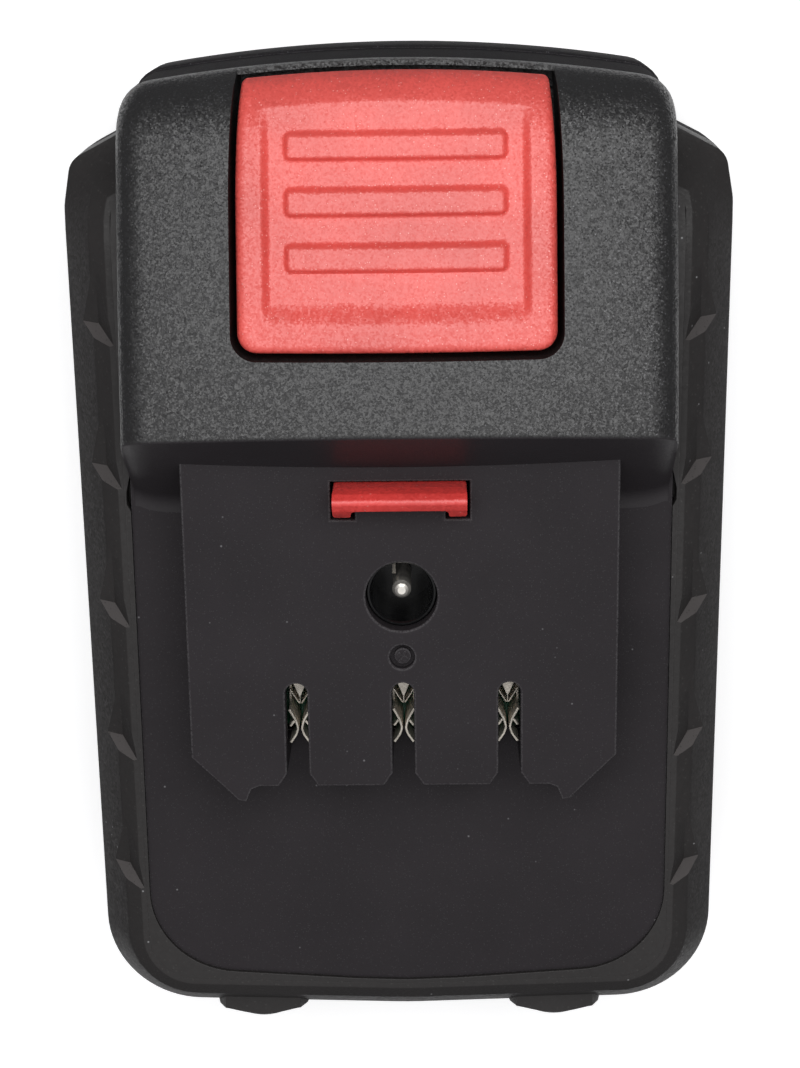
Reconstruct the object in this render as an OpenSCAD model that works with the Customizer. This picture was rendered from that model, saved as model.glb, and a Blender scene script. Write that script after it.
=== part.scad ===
// Slide-on battery pack for a hand-held power tool.
// It lies on its base with the rails up; +Y is the trailing end with the release button.
// All sizes are in millimetres.

/* [Cells] */
// Outer diameter of one sleeved cell
cell_d = 18.4; // [18.2:0.05:18.6]
// Length of one cell over both terminals
cell_len = 65.2; // [64.8:0.1:66]
// Distance between neighbouring cell axes
cell_pitch = 18.6; // [18.5:0.05:19.2]
// Thickness of the shrink sleeve round a cell
sleeve_t = 0.12; // [0.08:0.01:0.2]
// Thickness of the nickel strips
strip_t = 0.2; // [0.1:0.05:0.3]
// Thickness of the insulating papers over the strips
paper_t = 0.3; // [0.2:0.05:0.5]
// Free room between the papers and the shell
end_room = 1.15; // [0.5:0.05:1.4]

/* [Housing] */
// Wall of the hard shell behind the grip
shell_t = 1.3; // [1.1:0.1:2]
// Thickness of the soft grip over the shell
grip_t = 1.3; // [1:0.1:2]
// Thickness of the lower housing floor
floor_t = 2.2; // [1.8:0.1:3]
// Height of the seam between lower and upper housing
seam_z = 13; // [11:0.5:15]
// Half width lost from the trailing to the leading end
side_taper = 0.6; // [0.4:0.1:2]
// Room in front of the cells for the leading screw posts
lead_room = 10.8; // [10.8:0.1:13]
// Room behind the cells for the trailing screw posts
trail_room = 12.4; // [12.2:0.1:15]
// Height of the two bumps on the leading end
bump_h = 1.9; // [1:0.1:3]
// Thickness of the deck under the rails
deck_t = 2; // [1.6:0.1:3]
// Width of the deck between the grip rims
deck_w = 61.4; // [60:0.2:62.4]

/* [Rails] */
// Width over the two rail edges
rail_w = 48.2; // [46:0.2:51]
// Thickness of the rail plate
rail_t = 3; // [2.4:0.1:3.6]
// Clear height of the channel under the rail plate
rail_gap = 5.6; // [5:0.1:6.6]
// Length of the rail plate in front of the head
rail_len = 37.5; // [36.5:0.1:39]
// Width of the neck that carries the rail plate
neck_w = 38; // [37:0.2:40]
// Distance between neighbouring contact slots
slot_pitch = 12; // [11:0.1:12.4]
// Width of a contact slot
slot_w = 2.5; // [2.4:0.1:3]
// Length of a contact slot from the front edge
slot_len = 12.4; // [11.6:0.1:13]

/* [Head] */
// Width of the head
head_w = 60.4; // [58:0.2:60.6]
// Rise of the sloping front of the head above the rails
lip_rise = 6.5; // [5.5:0.1:7.5]
// Run of the sloping front of the head
lip_run = 4.9; // [4:0.1:6]
// Position of the foot of the slope along the pack
lip_y = 15.5; // [15.2:0.1:16]
// Radius of the crown across the head
crown_r = 170; // [150:5:220]
// Radius of the long side edges of the head
edge_r = 4; // [3.4:0.1:5]
// Radius of the trailing end of the head
end_r = 11; // [10:0.5:12.5]

/* [Release latch] */
// Width of the button
button_w = 34; // [32:0.2:35]
// Distance from the crest of the head to the button
button_set = 8.6; // [8:0.1:11]
// Gap round the button
button_gap = 0.7; // [0.4:0.1:1]
// Travel of the button
travel = 5; // [4:0.1:5.2]
// Depth of the thumb hollow
hollow_depth = 0.9; // [0.5:0.1:1.3]
// Width of one grip rib
rib_w = 3; // [2.4:0.1:3.4]
// Distance between neighbouring grip ribs
rib_pitch = 5.7; // [5.4:0.1:6.2]
// Width of the latch tooth
tooth_w = 14.6; // [13:0.2:16]
// Height of the latch tooth above the rails
tooth_h = 4.5; // [4:0.1:4.8]
// Wire diameter of the latch springs
wire_d = 0.6; // [0.4:0.05:0.8]
// Outer diameter of the latch springs
spring_d = 6.2; // [5.4:0.1:7]

/* [Charge jack and board] */
// Diameter of the jack hole in the rail plate
jack_hole_d = 8; // [7.4:0.1:9]
// Diameter of the jack socket
jack_bore_d = 6.9; // [6.4:0.1:7.2]
// Diameter of the jack pin
jack_pin_d = 2.1; // [1.6:0.1:2.5]
// Distance from the foot of the slope to the jack
jack_set = 14.9; // [14.6:0.1:15.2]
// Thickness of the circuit board
board_t = 1.6; // [1.2:0.1:1.8]

/* [Fits] */
// Free gap between pieces that pass or face each other
fit = 0.15; // [0.1:0.01:0.2]
// Diameter of the housing screws
screw_d = 2.9; // [2.5:0.1:3.2]
// Diameter of the heads of the housing screws
screw_head_d = 5; // [4.6:0.1:5.2]

/* [Hidden] */
$fn = 48;
eps = 0.01;
arc_step = 7.5;
cell_n = 5;
// Stack of heights from the base to the crest of the head.
cell_z = floor_t + 1.2 + cell_d / 2;
roof_z = cell_z + cell_d / 2 + 0.2;
roof_t = 0.8;
roof_top = roof_z + roof_t;
board_z = roof_top + strip_t;
board_top = board_z + board_t;
deck_z = board_top + 0.8;
deck_top = deck_z + deck_t;
rail_z = deck_top + rail_gap;
rail_top = rail_z + rail_t;
crest_z = rail_top + lip_rise;
rim_z = deck_top + 0.4;
// Plan of the housing, driven by the row of cells.
row_half = (cell_n - 1) / 2 * cell_pitch + cell_d / 2;
wall_in = shell_t + grip_t;
half_in = cell_len / 2 + strip_t + paper_t + end_room;
half_lead = half_in + wall_in;
half_trail = half_lead + side_taper;
lead_y = -row_half - lead_room;
trail_y = row_half + trail_room;
flank_y = row_half + 0.8;
flank_pts = [
    [0, lead_y],
    [half_lead, lead_y + 1.1],
    [half_trail, flank_y - 4.9],
    [half_trail - 0.8, flank_y],
    [27, flank_y + 5],
    [-27, flank_y + 5],
    [-half_trail + 0.8, flank_y],
    [-half_trail, flank_y - 4.9],
    [-half_lead, lead_y + 1.1]
];
flank_rads = [60, 11.5, 6, 2.5, 0.6, 0.6, 2.5, 6, 11.5];
deck_pts = [
    [0, lead_y + 6.2],
    [deck_w / 2, lead_y + 8.3],
    [deck_w / 2, flank_y],
    [-deck_w / 2, flank_y],
    [-deck_w / 2, lead_y + 8.3]
];
deck_rads = [90, 10.5, 1, 1, 10.5];
// Path of the head: a long shallow arc, then a tight arc down the trailing wall.
slope_a = atan2(lip_rise, lip_run);
crest_y = lip_y + lip_run;
crest_a = 9;
join_a = 18;
end_cy = trail_y - end_r;
join_y = end_cy + end_r * sin(join_a);
face_r = (join_y - crest_y) / (sin(join_a) - sin(crest_a));
join_z = crest_z - face_r * (cos(crest_a) - cos(join_a));
end_cz = join_z - end_r * cos(join_a);
// Latch.
button_y0 = crest_y + button_set;
button_y1 = trail_y - 1.3;
arm_t = 2;
arm_z = roof_top + travel + 0.7;
arm_top = arm_z + arm_t;
stop_z = arm_top + 0.1;
tooth_y = lip_y - 1.75;
tooth_bar = 2.25;
tooth_leg = 1.75;
tooth_foot = 3.3;
tooth_gap = 0.35;
pad_t = 2.4;
seat_z = end_cz + 9.1;
spring_x = 9.5;
spring_y = button_y0 + 14.6;
spring_turns = 5.5;
hollow_x = button_w / 2 - 2.8;
rib_x = hollow_x - 2.4;
rib_set = 9.75;
// Board, contacts and jack.
slot_y0 = lip_y - rail_len;
slot_y1 = slot_y0 + slot_len;
neck_front = slot_y0 + 1.5;
neck_wall = 2;
jack_y = lip_y - jack_set;
jack_floor = board_top + 1.4;
pin_root_r = jack_pin_d / 2 - 0.35;
board_half = 26;
board_y0 = slot_y0 - 8;
board_y1 = jack_y + 6.4;
stake_ys = [board_y0 + 4, board_y1 - 4];
contact_t = 0.4;
pinch_y = slot_y0 + 6;
contact_end = pinch_y + 5.8;
part_gap = 0.6;
transistor_y = contact_end + part_gap + 5.2;
transistor_end = transistor_y + 4;
// Screw posts.
post_r = 3;
post_pts = [
    [-22, -row_half - 4.5],
    [22, -row_half - 4.5],
    [-22.6, row_half + 5.1],
    [22.6, row_half + 5.1]
];
screw_sink = floor_t - 0.6;
screw_top = seam_z + 6.5;
spring_lead = (seat_z - roof_top - wire_d) / spring_turns;
echo(least_spring_gap = spring_lead - wire_d);

// Outline tools: a counter-clockwise polygon is inset and its corners are rounded.
function at(list, i) = list[(i + len(list)) % len(list)];
function out_normal(p, q) = let (e = (q - p) / norm(q - p)) [e.y, -e.x];
function inset_point(pts, i, d) =
    let (a = out_normal(at(pts, i - 1), at(pts, i)), b = out_normal(at(pts, i), at(pts, i + 1)))
    at(pts, i) - d * (a + b) / (1 + a * b);
function corner_arc(p0, p1, p2, r) =
    let (
        a = (p0 - p1) / norm(p0 - p1),
        b = (p2 - p1) / norm(p2 - p1),
        half = acos(a * b) / 2,
        c = p1 + (a + b) / norm(a + b) * r / sin(half),
        s = p1 + a * r / tan(half) - c,
        turn = 180 - 2 * half,
        n = max(2, ceil(turn / arc_step))
    )
    [for (k = [0:n]) let (w = turn * k / n) c + [s.x * cos(w) - s.y * sin(w), s.x * sin(w) + s.y * cos(w)]];
function rounded(pts, rads, d) =
    let (q = [for (i = [0:len(pts) - 1]) inset_point(pts, i, d)])
    [for (i = [0:len(q) - 1]) each corner_arc(at(q, i - 1), q[i], at(q, i + 1), max(rads[i] - d, 0.4))];
function flank(d) = rounded(flank_pts, flank_rads, d);

// Curve across the head, right to left: crowned top with rounded edges, inset by t.
function arc(c, r, a0, a1, n) = [for (k = [0:n]) let (a = a0 + (a1 - a0) * k / n) c + r * [cos(a), sin(a)]];
function head_curve(t) =
    let (
        x = head_w / 2 - edge_r,
        cy = -crown_r + sqrt(pow(crown_r - edge_r, 2) - x * x),
        top_a = atan2(cy + crown_r, x)
    )
    concat(
        arc([x, cy], edge_r - t, 0, top_a, 6),
        arc([0, -crown_r], crown_r - t, top_a + 1, 179 - top_a, 12),
        arc([-x, cy], edge_r - t, 180 - top_a, 180, 6)
    );
function tail(t, depth) =
    let (w = head_w / 2 - t)
    [
        [w, trail_y - depth],
        each [for (p = head_curve(t)) [p.x, trail_y + p.y]],
        [-w, trail_y - depth]
    ];

// Centre, radius and angle of each station along the head, from the rails to the trailing wall.
face_c = [join_y - face_r * sin(join_a), join_z - face_r * cos(join_a)];
end_c = [end_cy, end_cz];
stations = concat(
    [for (k = [0:9]) [face_c, face_r, 86 - (join_a - 4) * k / 10]],
    [for (k = [0:12]) [end_c, end_r, (90 - join_a) * (1 - k / 12)]]
);
function on_path(s, x, h) = let (r = s[1] + h) [x, s[0].x + r * cos(s[2]), s[0].y + r * sin(s[2])];

module plan(d) {
    polygon(flank(d));
    polygon(tail(d, 26));
}

module deck_plan(d) {
    intersection() {
        polygon(rounded(deck_pts, deck_rads, d));
        polygon(flank(5.6 + d));
    }
}

// Solid through level rings of points, counter-clockwise and with the same count each.
module loft(rings) {
    n = len(rings[0]);
    m = len(rings) - 1;
    sides = [
        for (i = [0:m - 1], j = [0:n - 1])
            let (a = i * n + j, b = i * n + (j + 1) % n)
            each [[a, a + n, b], [b, a + n, b + n]]
    ];
    caps = [[for (j = [0:n - 1]) j], [for (j = [n - 1:-1:0]) m * n + j]];
    polyhedron([for (r = rings) each r], concat(caps, sides));
}

// Insets of the flank or of the tail, one above the other; steps hold pairs of height and inset.
module flank_loft(steps) {
    loft([for (s = steps) [for (p = flank(s[1])) [p.x, p.y, s[0]]]]);
}

module tail_loft(steps) {
    loft([for (s = steps) [for (p = tail(s[1], 26)) [p.x, p.y, s[0]]]]);
}

// Whole head and trailing wall down to a level, inset by t.
module head_body(t, z0) {
    curve = head_curve(t);
    n = len(curve) - 1;
    m = len(stations) - 1;
    top = [for (s = stations, p = curve) on_path(s, p.x, p.y)];
    count = len(top);
    function id(i, j) = i * (n + 1) + j;
    rim = concat(
        [for (i = [0:m]) id(i, 0)],
        [for (j = [1:n]) id(m, j)],
        [for (i = [m - 1:-1:0]) id(i, n)],
        [for (j = [n - 1:-1:1]) id(0, j)]
    );
    size = len(rim);
    skin = [
        for (i = [0:m - 1], j = [0:n - 1])
            each [
                [id(i, j + 1), id(i + 1, j + 1), id(i + 1, j)],
                [id(i, j + 1), id(i + 1, j), id(i, j)]
            ]
    ];
    walls = [
        for (k = [0:size - 1])
            let (q = (k + 1) % size)
            each [[count + k, rim[k], count + q], [count + q, rim[k], rim[q]]]
    ];
    foot = [for (k = rim) [top[k].x, top[k].y, z0]];
    polyhedron(concat(top, foot), concat(skin, walls, [[for (k = [0:size - 1]) count + k]]));
}

// Everything in front of the sloping face of the head, moved back by t.
module before_lip(t) {
    translate([0, lip_y, rail_top])
        rotate([slope_a, 0, 0])
            translate([-60, -80, -t])
                cube([120, 160, 60]);
}

module rounded_box(x0, x1, y0, y1, r, z0, z1) {
    translate([0, 0, z0])
        linear_extrude(height = z1 - z0) {
            translate([x0 + r, y0])
                square([x1 - x0 - 2 * r, y1 - y0]);
            translate([x0, y0 + r])
                square([x1 - x0, y1 - y0 - 2 * r]);
            for (x = [x0 + r, x1 - r], y = [y0 + r, y1 - r])
                translate([x, y])
                    circle(r);
        }
}

module box(x0, x1, y0, y1, z0, z1) {
    translate([x0, y0, z0])
        cube([x1 - x0, y1 - y0, z1 - z0]);
}

module rod(p, r, z0, z1) {
    translate([p.x, p.y, z0])
        cylinder(r = r, h = z1 - z0);
}

module lower_housing() {
    foot = [[0, 2.6], [0.8, 1.3], [2.2, 0.55], [5, 0.15], [seam_z, 0]];
    color([0.13, 0.13, 0.135])
        difference() {
            union() {
                difference() {
                    union() {
                        flank_loft(foot);
                        tail_loft(foot);
                    }
                    translate([0, 0, floor_t])
                        linear_extrude(height = seam_z)
                            plan(wall_in);
                }
                translate([0, 0, seam_z - 1])
                    linear_extrude(height = 2.2)
                        difference() {
                            plan(wall_in - 0.6);
                            plan(wall_in);
                        }
                for (p = post_pts)
                    rod(p, post_r, floor_t - 1, seam_z - fit);
            }
            for (p = post_pts) {
                rod(p, screw_d / 2 + fit, -1, seam_z + 1);
                rod(p, screw_head_d / 2 + fit, -1, screw_sink);
            }
        }
}

module slot_cut(x) {
    round_y = slot_y1 - slot_w / 2;
    translate([x, 0, deck_top])
        linear_extrude(height = rail_top) {
            translate([-slot_w / 2, slot_y0 - 3])
                square([slot_w, round_y - slot_y0 + 3]);
            translate([0, round_y])
                circle(slot_w / 2);
            polygon([
                [-slot_w / 2 - 1, slot_y0 - eps],
                [slot_w / 2 + 1, slot_y0 - eps],
                [slot_w / 2, slot_y0 + 1.5],
                [-slot_w / 2, slot_y0 + 1.5]
            ]);
        }
}

module rail_plate() {
    half = [
        [rail_w / 2, lip_y + 0.9],
        [rail_w / 2, slot_y0 + 3.6],
        [rail_w / 2 - 5.2, slot_y0 - 1.7],
        [rail_w / 2 - 6.1, slot_y0 - 1.9],
        [rail_w / 2 - 6.7, slot_y0 - 0.4],
        [rail_w / 2 - 7.6, slot_y0]
    ];
    translate([0, 0, rail_z])
        linear_extrude(height = rail_t)
            polygon(concat(
                [for (p = half) p],
                [for (k = [len(half) - 1:-1:0]) [-half[k].x, half[k].y]]
            ));
}

module tooth_slot() {
    x = tooth_w / 2 + tooth_gap;
    y1 = tooth_y + 0.12;
    leg_in = tooth_w / 2 - tooth_leg - tooth_gap;
    box(-x, x, y1 - tooth_bar - 0.2, y1, rail_z - 1, rail_top + 1);
    for (s = [-1, 1])
        translate([s * (x + leg_in) / 2, 0, 0])
            box((leg_in - x) / 2, (x - leg_in) / 2, y1 - 4.3, y1 - 1, rail_z - 1, rail_top + 1);
}

module pocket(grow, z0, z1) {
    x = button_w / 2 + button_gap + grow;
    rounded_box(-x, x, button_y0 - button_gap - grow, trail_y - 1 + grow, 2.7, z0, z1);
}

// Steps of height and inset of the face that the grip is moulded on.
function grip_seat(z0) = [
    [z0, grip_t],
    [deck_z - 3.2, grip_t],
    [deck_z - 1, grip_t + 2.9],
    [deck_z + 0.8, grip_t + 4.1]
];

// The upper housing is meshed as one piece.
module upper_housing() {
    shell = grip_seat(seam_z);
    room = [[seam_z - 1, wall_in], [deck_z - 3, wall_in], [deck_z - 2.4, wall_in + 0.7], [deck_z, wall_in + 3.8]];
    neck_in = neck_w / 2 - neck_wall;
    color([0.115, 0.115, 0.12])
        resize([0, 0, 0])
            difference() {
                union() {
                    difference() {
                        union() {
                            flank_loft(shell);
                            translate([0, 0, deck_z])
                                linear_extrude(height = deck_t)
                                    deck_plan(0);
                            difference() {
                                head_body(0, seam_z);
                                before_lip(0);
                                box(-40, 40, -60, end_cy, 0, deck_z + 0.5);
                            }
                            box(-neck_w / 2, neck_w / 2, neck_front, lip_y + 0.8, deck_z + 0.3, rail_z + 0.5);
                            rail_plate();
                        }
                        flank_loft(room);
                        difference() {
                            head_body(wall_in, seam_z - 1);
                            before_lip(wall_in);
                        }
                        box(-neck_in, neck_in, neck_front + neck_wall, crest_y + 4, deck_z - 1, rail_z);
                        translate([0, 0, seam_z - 1])
                            linear_extrude(height = 2.2 + fit)
                                difference() {
                                    plan(wall_in - 0.6 - fit);
                                    plan(wall_in + 1);
                                }
                    }
                    intersection() {
                        head_body(0.8, seam_z);
                        pocket(1.5, stop_z, crest_z + 5);
                    }
                    for (p = post_pts) {
                        rod(p, post_r, seam_z, deck_z - 3.3);
                        if (p.y > 0)
                            box(p.x - 1, p.x + 1, p.y, trail_y - wall_in, seam_z + 1.2 + fit, deck_z - 3.6);
                        else
                            box(p.x - 1.2, p.x + 1.2, p.y - 0.2, p.y + 3, deck_z - 5, deck_z + 0.5);
                    }
                }
                pocket(0, roof_top - 1.5, crest_z + 10);
                for (p = post_pts)
                    rod(p, screw_d / 2 + 0.05, seam_z - 1, screw_top + 1);
                for (k = [-1:1])
                    slot_cut(k * slot_pitch);
                rod([0, jack_y], jack_hole_d / 2, rail_z - 1, rail_top + 1);
                tooth_slot();
                difference() {
                    rod([0, jack_y - 7.1], 1.4, rail_top - 0.35, rail_top + 1);
                    rod([0, jack_y - 7.1], 0.6, rail_top - 1, rail_top - 0.1);
                }
            }
}

// Half width of the grip at a place along the side.
function grip_x(y) =
    half_trail - side_taper * (flank_y - 4.9 - y) / (flank_y - 6 - lead_y);

// Three-sided notch in the shoulder, spread by rays from its deepest corner.
module notch(y) {
    deep = [grip_x(y) - 2.6, y, rim_z - 3.4];
    rays = [[-1.9, -3.1, 3], [1.4, 0, -0.9], [0.6, 8.5, 0.5]];
    pts = concat([deep], [for (r = rays) deep + 3 * r]);
    polyhedron(pts, [[0, 1, 2], [0, 2, 3], [0, 3, 1], [1, 3, 2]]);
}

module bump() {
    base = lead_y + 1.6;
    top = lead_y - bump_h;
    half = [[5.8, base], [5, lead_y + 0.2], [3.1, top + 0.5], [1.8, top]];
    outline = concat(half, [for (k = [3:-1:0]) [-half[k].x, half[k].y]]);
    hull() {
        translate([0, 0, seam_z + 1])
            linear_extrude(height = 7.5)
                polygon(outline);
        translate([0, 1.9, seam_z])
            linear_extrude(height = 11)
                polygon([for (p = outline) [p.x * 0.8, p.y]]);
    }
}

// The grip is all flat facets, so it is meshed as one piece.
module side_grip() {
    outer = [[seam_z, 0], [deck_z - 3.9, 0], [rim_z - 0.8, 3.3], [rim_z, 5.2]];
    color([0.155, 0.15, 0.148])
        resize([0, 0, 0])
            difference() {
                union() {
                    flank_loft(outer);
                    for (s = [-1, 1])
                        translate([s * 18, 0, 0])
                            bump();
                }
                flank_loft(grip_seat(seam_z - 1));
                translate([0, 0, seam_z - 1])
                    linear_extrude(height = rim_z)
                        polygon(tail(-fit, 70));
                translate([0, 0, deck_z])
                    linear_extrude(height = rim_z)
                        deck_plan(-fit);
                for (k = [0:4], s = [0, 1])
                    mirror([s, 0, 0])
                        notch(flank_y - 18.1 - k * 16.8);
            }
}

// Everything above the face of the head, lowered by d, over the width of the button.
module over_face(d) {
    n = 12;
    m = len(stations) - 1;
    x = [for (j = [0:n]) (button_w / 2 + 1) * (1 - 2 * j / n)];
    low = [for (s = stations, v = x) on_path(s, v, sqrt(pow(crown_r - d, 2) - v * v) - crown_r)];
    count = len(low);
    function id(i, j) = i * (n + 1) + j;
    rim = concat(
        [for (i = [0:m]) id(i, 0)],
        [for (j = [1:n]) id(m, j)],
        [for (i = [m - 1:-1:0]) id(i, n)],
        [for (j = [n - 1:-1:1]) id(0, j)]
    );
    size = len(rim);
    skin = [
        for (i = [0:m - 1], j = [0:n - 1])
            each [
                [id(i + 1, j), id(i + 1, j + 1), id(i, j + 1)],
                [id(i, j), id(i + 1, j), id(i, j + 1)]
            ]
    ];
    walls = [
        for (k = [0:size - 1])
            let (q = (k + 1) % size)
            each [[rim[k], count + k, rim[q]], [rim[q], count + k, count + q]]
    ];
    lid = [for (k = rim) [low[k].x, low[k].y, crest_z + 8]];
    polyhedron(concat(low, lid), concat(skin, walls, [[for (k = [size - 1:-1:0]) count + k]]));
}

// Side view of the room under the button.
function under_pad() =
    let (low_a = asin((arm_z - end_cz) / (end_r - pad_t)))
    concat(
        arc([end_cy, end_cz], end_r - pad_t, low_a, 90 - join_a, 8),
        arc(face_c, face_r - pad_t, 91 - join_a, 97.5 - join_a, 8),
        [[button_y0 + 2.2, crest_z - 5.5], [button_y0 + 2.2, arm_z - 1], [end_cy + 2, arm_z - 1]]
    );

module grip_ribs() {
    for (k = [0:2])
        translate([0, button_y0 + rib_set + k * rib_pitch, 0])
            rounded_box(-rib_x, rib_x, -rib_w / 2, rib_w / 2, 0.6, end_cz, crest_z + 1);
}

// Button, arm and tooth are one moulding, meshed as one piece.
module release_latch() {
    x = button_w / 2;
    arm_x = tooth_w / 2;
    ridge = rail_top + tooth_h;
    bar_y = tooth_y - tooth_bar;
    foot_y = tooth_y - tooth_foot;
    color([0.83, 0.13, 0.11])
        resize([0, 0, 0])
            union() {
                difference() {
                    rounded_box(-x, x, button_y0, button_y1, 2.1, arm_z, crest_z);
                    over_face(0);
                    translate([-x + 2.2, 0, 0])
                        rotate([90, 0, 90])
                            linear_extrude(height = button_w - 4.4)
                                polygon(under_pad());
                    difference() {
                        intersection() {
                            over_face(hollow_depth);
                            rounded_box(-hollow_x, hollow_x, button_y0 + 2.3, button_y1 - 3.6, 2, end_cz, crest_z + 1);
                        }
                        grip_ribs();
                    }
                    intersection() {
                        over_face(0.15);
                        grip_ribs();
                    }
                }
                for (s = [-1, 1]) {
                    difference() {
                        rod([s * spring_x, spring_y], spring_d / 2 + 0.3, seat_z, crest_z);
                        over_face(1.5);
                    }
                    rod([s * spring_x, spring_y], spring_d / 2 - wire_d - 0.4, seat_z - 2, seat_z + 0.5);
                    translate([s * (x + 0.4), 0, 0])
                        box(-1.4, 1.4, button_y0 + 7, button_y0 + 17, arm_z + 0.3, arm_top);
                }
                box(-arm_x + 0.3, arm_x - 0.3, tooth_y - 1, button_y0 + 1.5, arm_z + 0.1, arm_top);
                difference() {
                    translate([-arm_x, 0, 0])
                        rotate([90, 0, 90])
                            linear_extrude(height = tooth_w)
                                polygon([
                                    [foot_y, arm_z + 0.2], [tooth_y, arm_z + 0.2], [tooth_y, ridge - 0.5],
                                    [tooth_y - 0.5, ridge], [tooth_y - 1.1, ridge - 0.1],
                                    [bar_y, ridge - 2.6], [foot_y, rail_top + 0.7]
                                ]);
                    box(-arm_x + tooth_leg, arm_x - tooth_leg, foot_y - 1, bar_y, arm_top - 0.1, ridge);
                }
            }
}

// One unbroken coil: rings of six points along the wire.
module coil_spring(x) {
    rings = 8 * spring_turns;
    rm = (spring_d - wire_d) / 2;
    z0 = roof_top + wire_d / 2;
    rise = atan(spring_lead / (2 * PI * rm));
    pts = [
        for (i = [0:rings], k = [0:5])
            let (
                a = 45 * i,
                b = 60 * k,
                out = wire_d / 2 * cos(b),
                up = wire_d / 2 * sin(b),
                side = -up * sin(rise)
            )
            [
                (rm + out) * cos(a) - side * sin(a),
                (rm + out) * sin(a) + side * cos(a),
                z0 + spring_lead * i / 8 + up * cos(rise)
            ]
    ];
    walls = [
        for (i = [0:rings - 1], k = [0:5])
            let (n = (k + 1) % 6)
            [6 * i + k, 6 * i + n, 6 * i + 6 + n, 6 * i + 6 + k]
    ];
    color([0.72, 0.73, 0.75])
        translate([x, spring_y, 0])
            polyhedron(pts, concat(walls, [[5, 4, 3, 2, 1, 0], [for (k = [0:5]) 6 * rings + k]]));
}

module housing_screws() {
    color([0.25, 0.25, 0.26])
        for (p = post_pts)
            difference() {
                union() {
                    rod(p, screw_head_d / 2, 0.2, screw_sink);
                    rod(p, screw_d / 2, screw_sink - eps, screw_top);
                }
                for (a = [0, 60, 120])
                    translate([p.x, p.y, 0])
                        rotate([0, 0, a])
                            box(-1.2, 1.2, -0.55, 0.55, 0, screw_sink - 0.4);
            }
}

function cell_y(i) = (i - 3) * cell_pitch;
// Odd cells have the positive end at +X, even cells at -X.
function cell_turn(i) = i % 2 == 1 ? 90 : -90;

module on_cell(i) {
    translate([0, cell_y(i), cell_z])
        rotate([0, cell_turn(i), 0])
            children();
}

module cell(i) {
    can_r = cell_d / 2 - sleeve_t;
    half = cell_len / 2;
    color([0.74, 0.75, 0.76])
        on_cell(i)
            rotate_extrude()
                polygon([
                    [0, -half], [can_r - 0.6, -half], [can_r, -half + 0.6],
                    [can_r, half - 4.6], [can_r - 0.5, half - 4.2], [can_r - 0.5, half - 3.8],
                    [can_r, half - 3.4], [can_r, half - 0.9], [can_r - 0.4, half - 0.5],
                    [4.3, half - 0.5], [4.1, half], [0, half]
                ]);
}

module sleeve(i) {
    color([0.12, 0.36, 0.5])
        on_cell(i)
            difference() {
                translate([0, 0, -cell_len / 2 + 0.7])
                    cylinder(d = cell_d, h = cell_len - 1.7);
                translate([0, 0, -cell_len / 2])
                    cylinder(r = cell_d / 2 - sleeve_t, h = cell_len);
            }
}

module end_ring(i) {
    color([0.86, 0.85, 0.8])
        on_cell(i)
            translate([0, 0, cell_len / 2 - 0.5])
                difference() {
                    cylinder(r = cell_d / 2 - 0.7, h = 0.35);
                    translate([0, 0, -1])
                        cylinder(r = 4.5, h = 3);
                }
}

module holder() {
    x1 = cell_len / 2;
    y1 = row_half + 0.45;
    nose = 2.2;
    bore_r = cell_d / 2 + 0.05;
    stand = [[-board_half + 3, -board_half + 9], [board_half - 9, board_half - 3]];
    color([0.2, 0.2, 0.21])
        difference() {
            union() {
                box(12, x1 - nose, -y1, y1, floor_t + 0.8, roof_top);
                box(fit, x1 - nose, -y1, y1, roof_z, roof_top);
                box(x1 - nose - 1, x1, -y1 + 0.75, y1 - 0.75, floor_t + 0.8, roof_top);
                rod([spring_x, spring_y], spring_d / 2 - wire_d - 0.4, roof_z, roof_top + 2);
                for (y = stake_ys) {
                    box(board_half - 6, board_half - 2, y - 2, y + 2, roof_z, board_z);
                    rod([board_half - 4, y], 0.8, roof_z, board_top + 0.1);
                    rod([board_half - 4, y], 1.4, board_top, board_top + 0.5);
                }
            }
            for (i = [1:cell_n])
                translate([5, cell_y(i), cell_z])
                    rotate([0, 90, 0])
                        cylinder(r = bore_r, h = x1);
        }
}

module paper(side) {
    color([0.72, 0.78, 0.7])
        mirror([side, 0, 0])
            translate([cell_len / 2 + strip_t, 0, 0])
                box(0, paper_t, -row_half + 0.4, row_half - 0.4, floor_t + 1.4, roof_z - 0.4);
}

// Strip welded over the cells from y0 to y1, with a lead that rises, crosses the roof and ends at the board.
module strip(side, y0, y1, rise_y, end_y) {
    x = cell_len / 2;
    run_x = board_half + 2.5;
    half = 2;
    low = min(rise_y, end_y) - half;
    high = max(rise_y, end_y) + half;
    color([0.8, 0.79, 0.75])
        mirror([side, 0, 0]) {
            box(x, x + strip_t, y0 - 6, y1 + 6, cell_z - 4, cell_z + 4);
            box(x, x + strip_t, rise_y - half, rise_y + half, cell_z, board_z);
            box(run_x, x + strip_t, rise_y - half, rise_y + half, roof_top, board_z);
            box(run_x, run_x + 3, low, high, roof_top, board_z);
            box(board_half - 1.9, run_x + 1, end_y - half, end_y + half, roof_top, board_z);
        }
}

module circuit_board() {
    color([0.05, 0.27, 0.16])
        difference() {
            box(-board_half, board_half, board_y0, board_y1, board_z, board_top);
            for (s = [-1, 1], y = stake_ys)
                rod([s * (board_half - 4), y], 0.85, board_z - 1, board_top + 1);
        }
}

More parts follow.
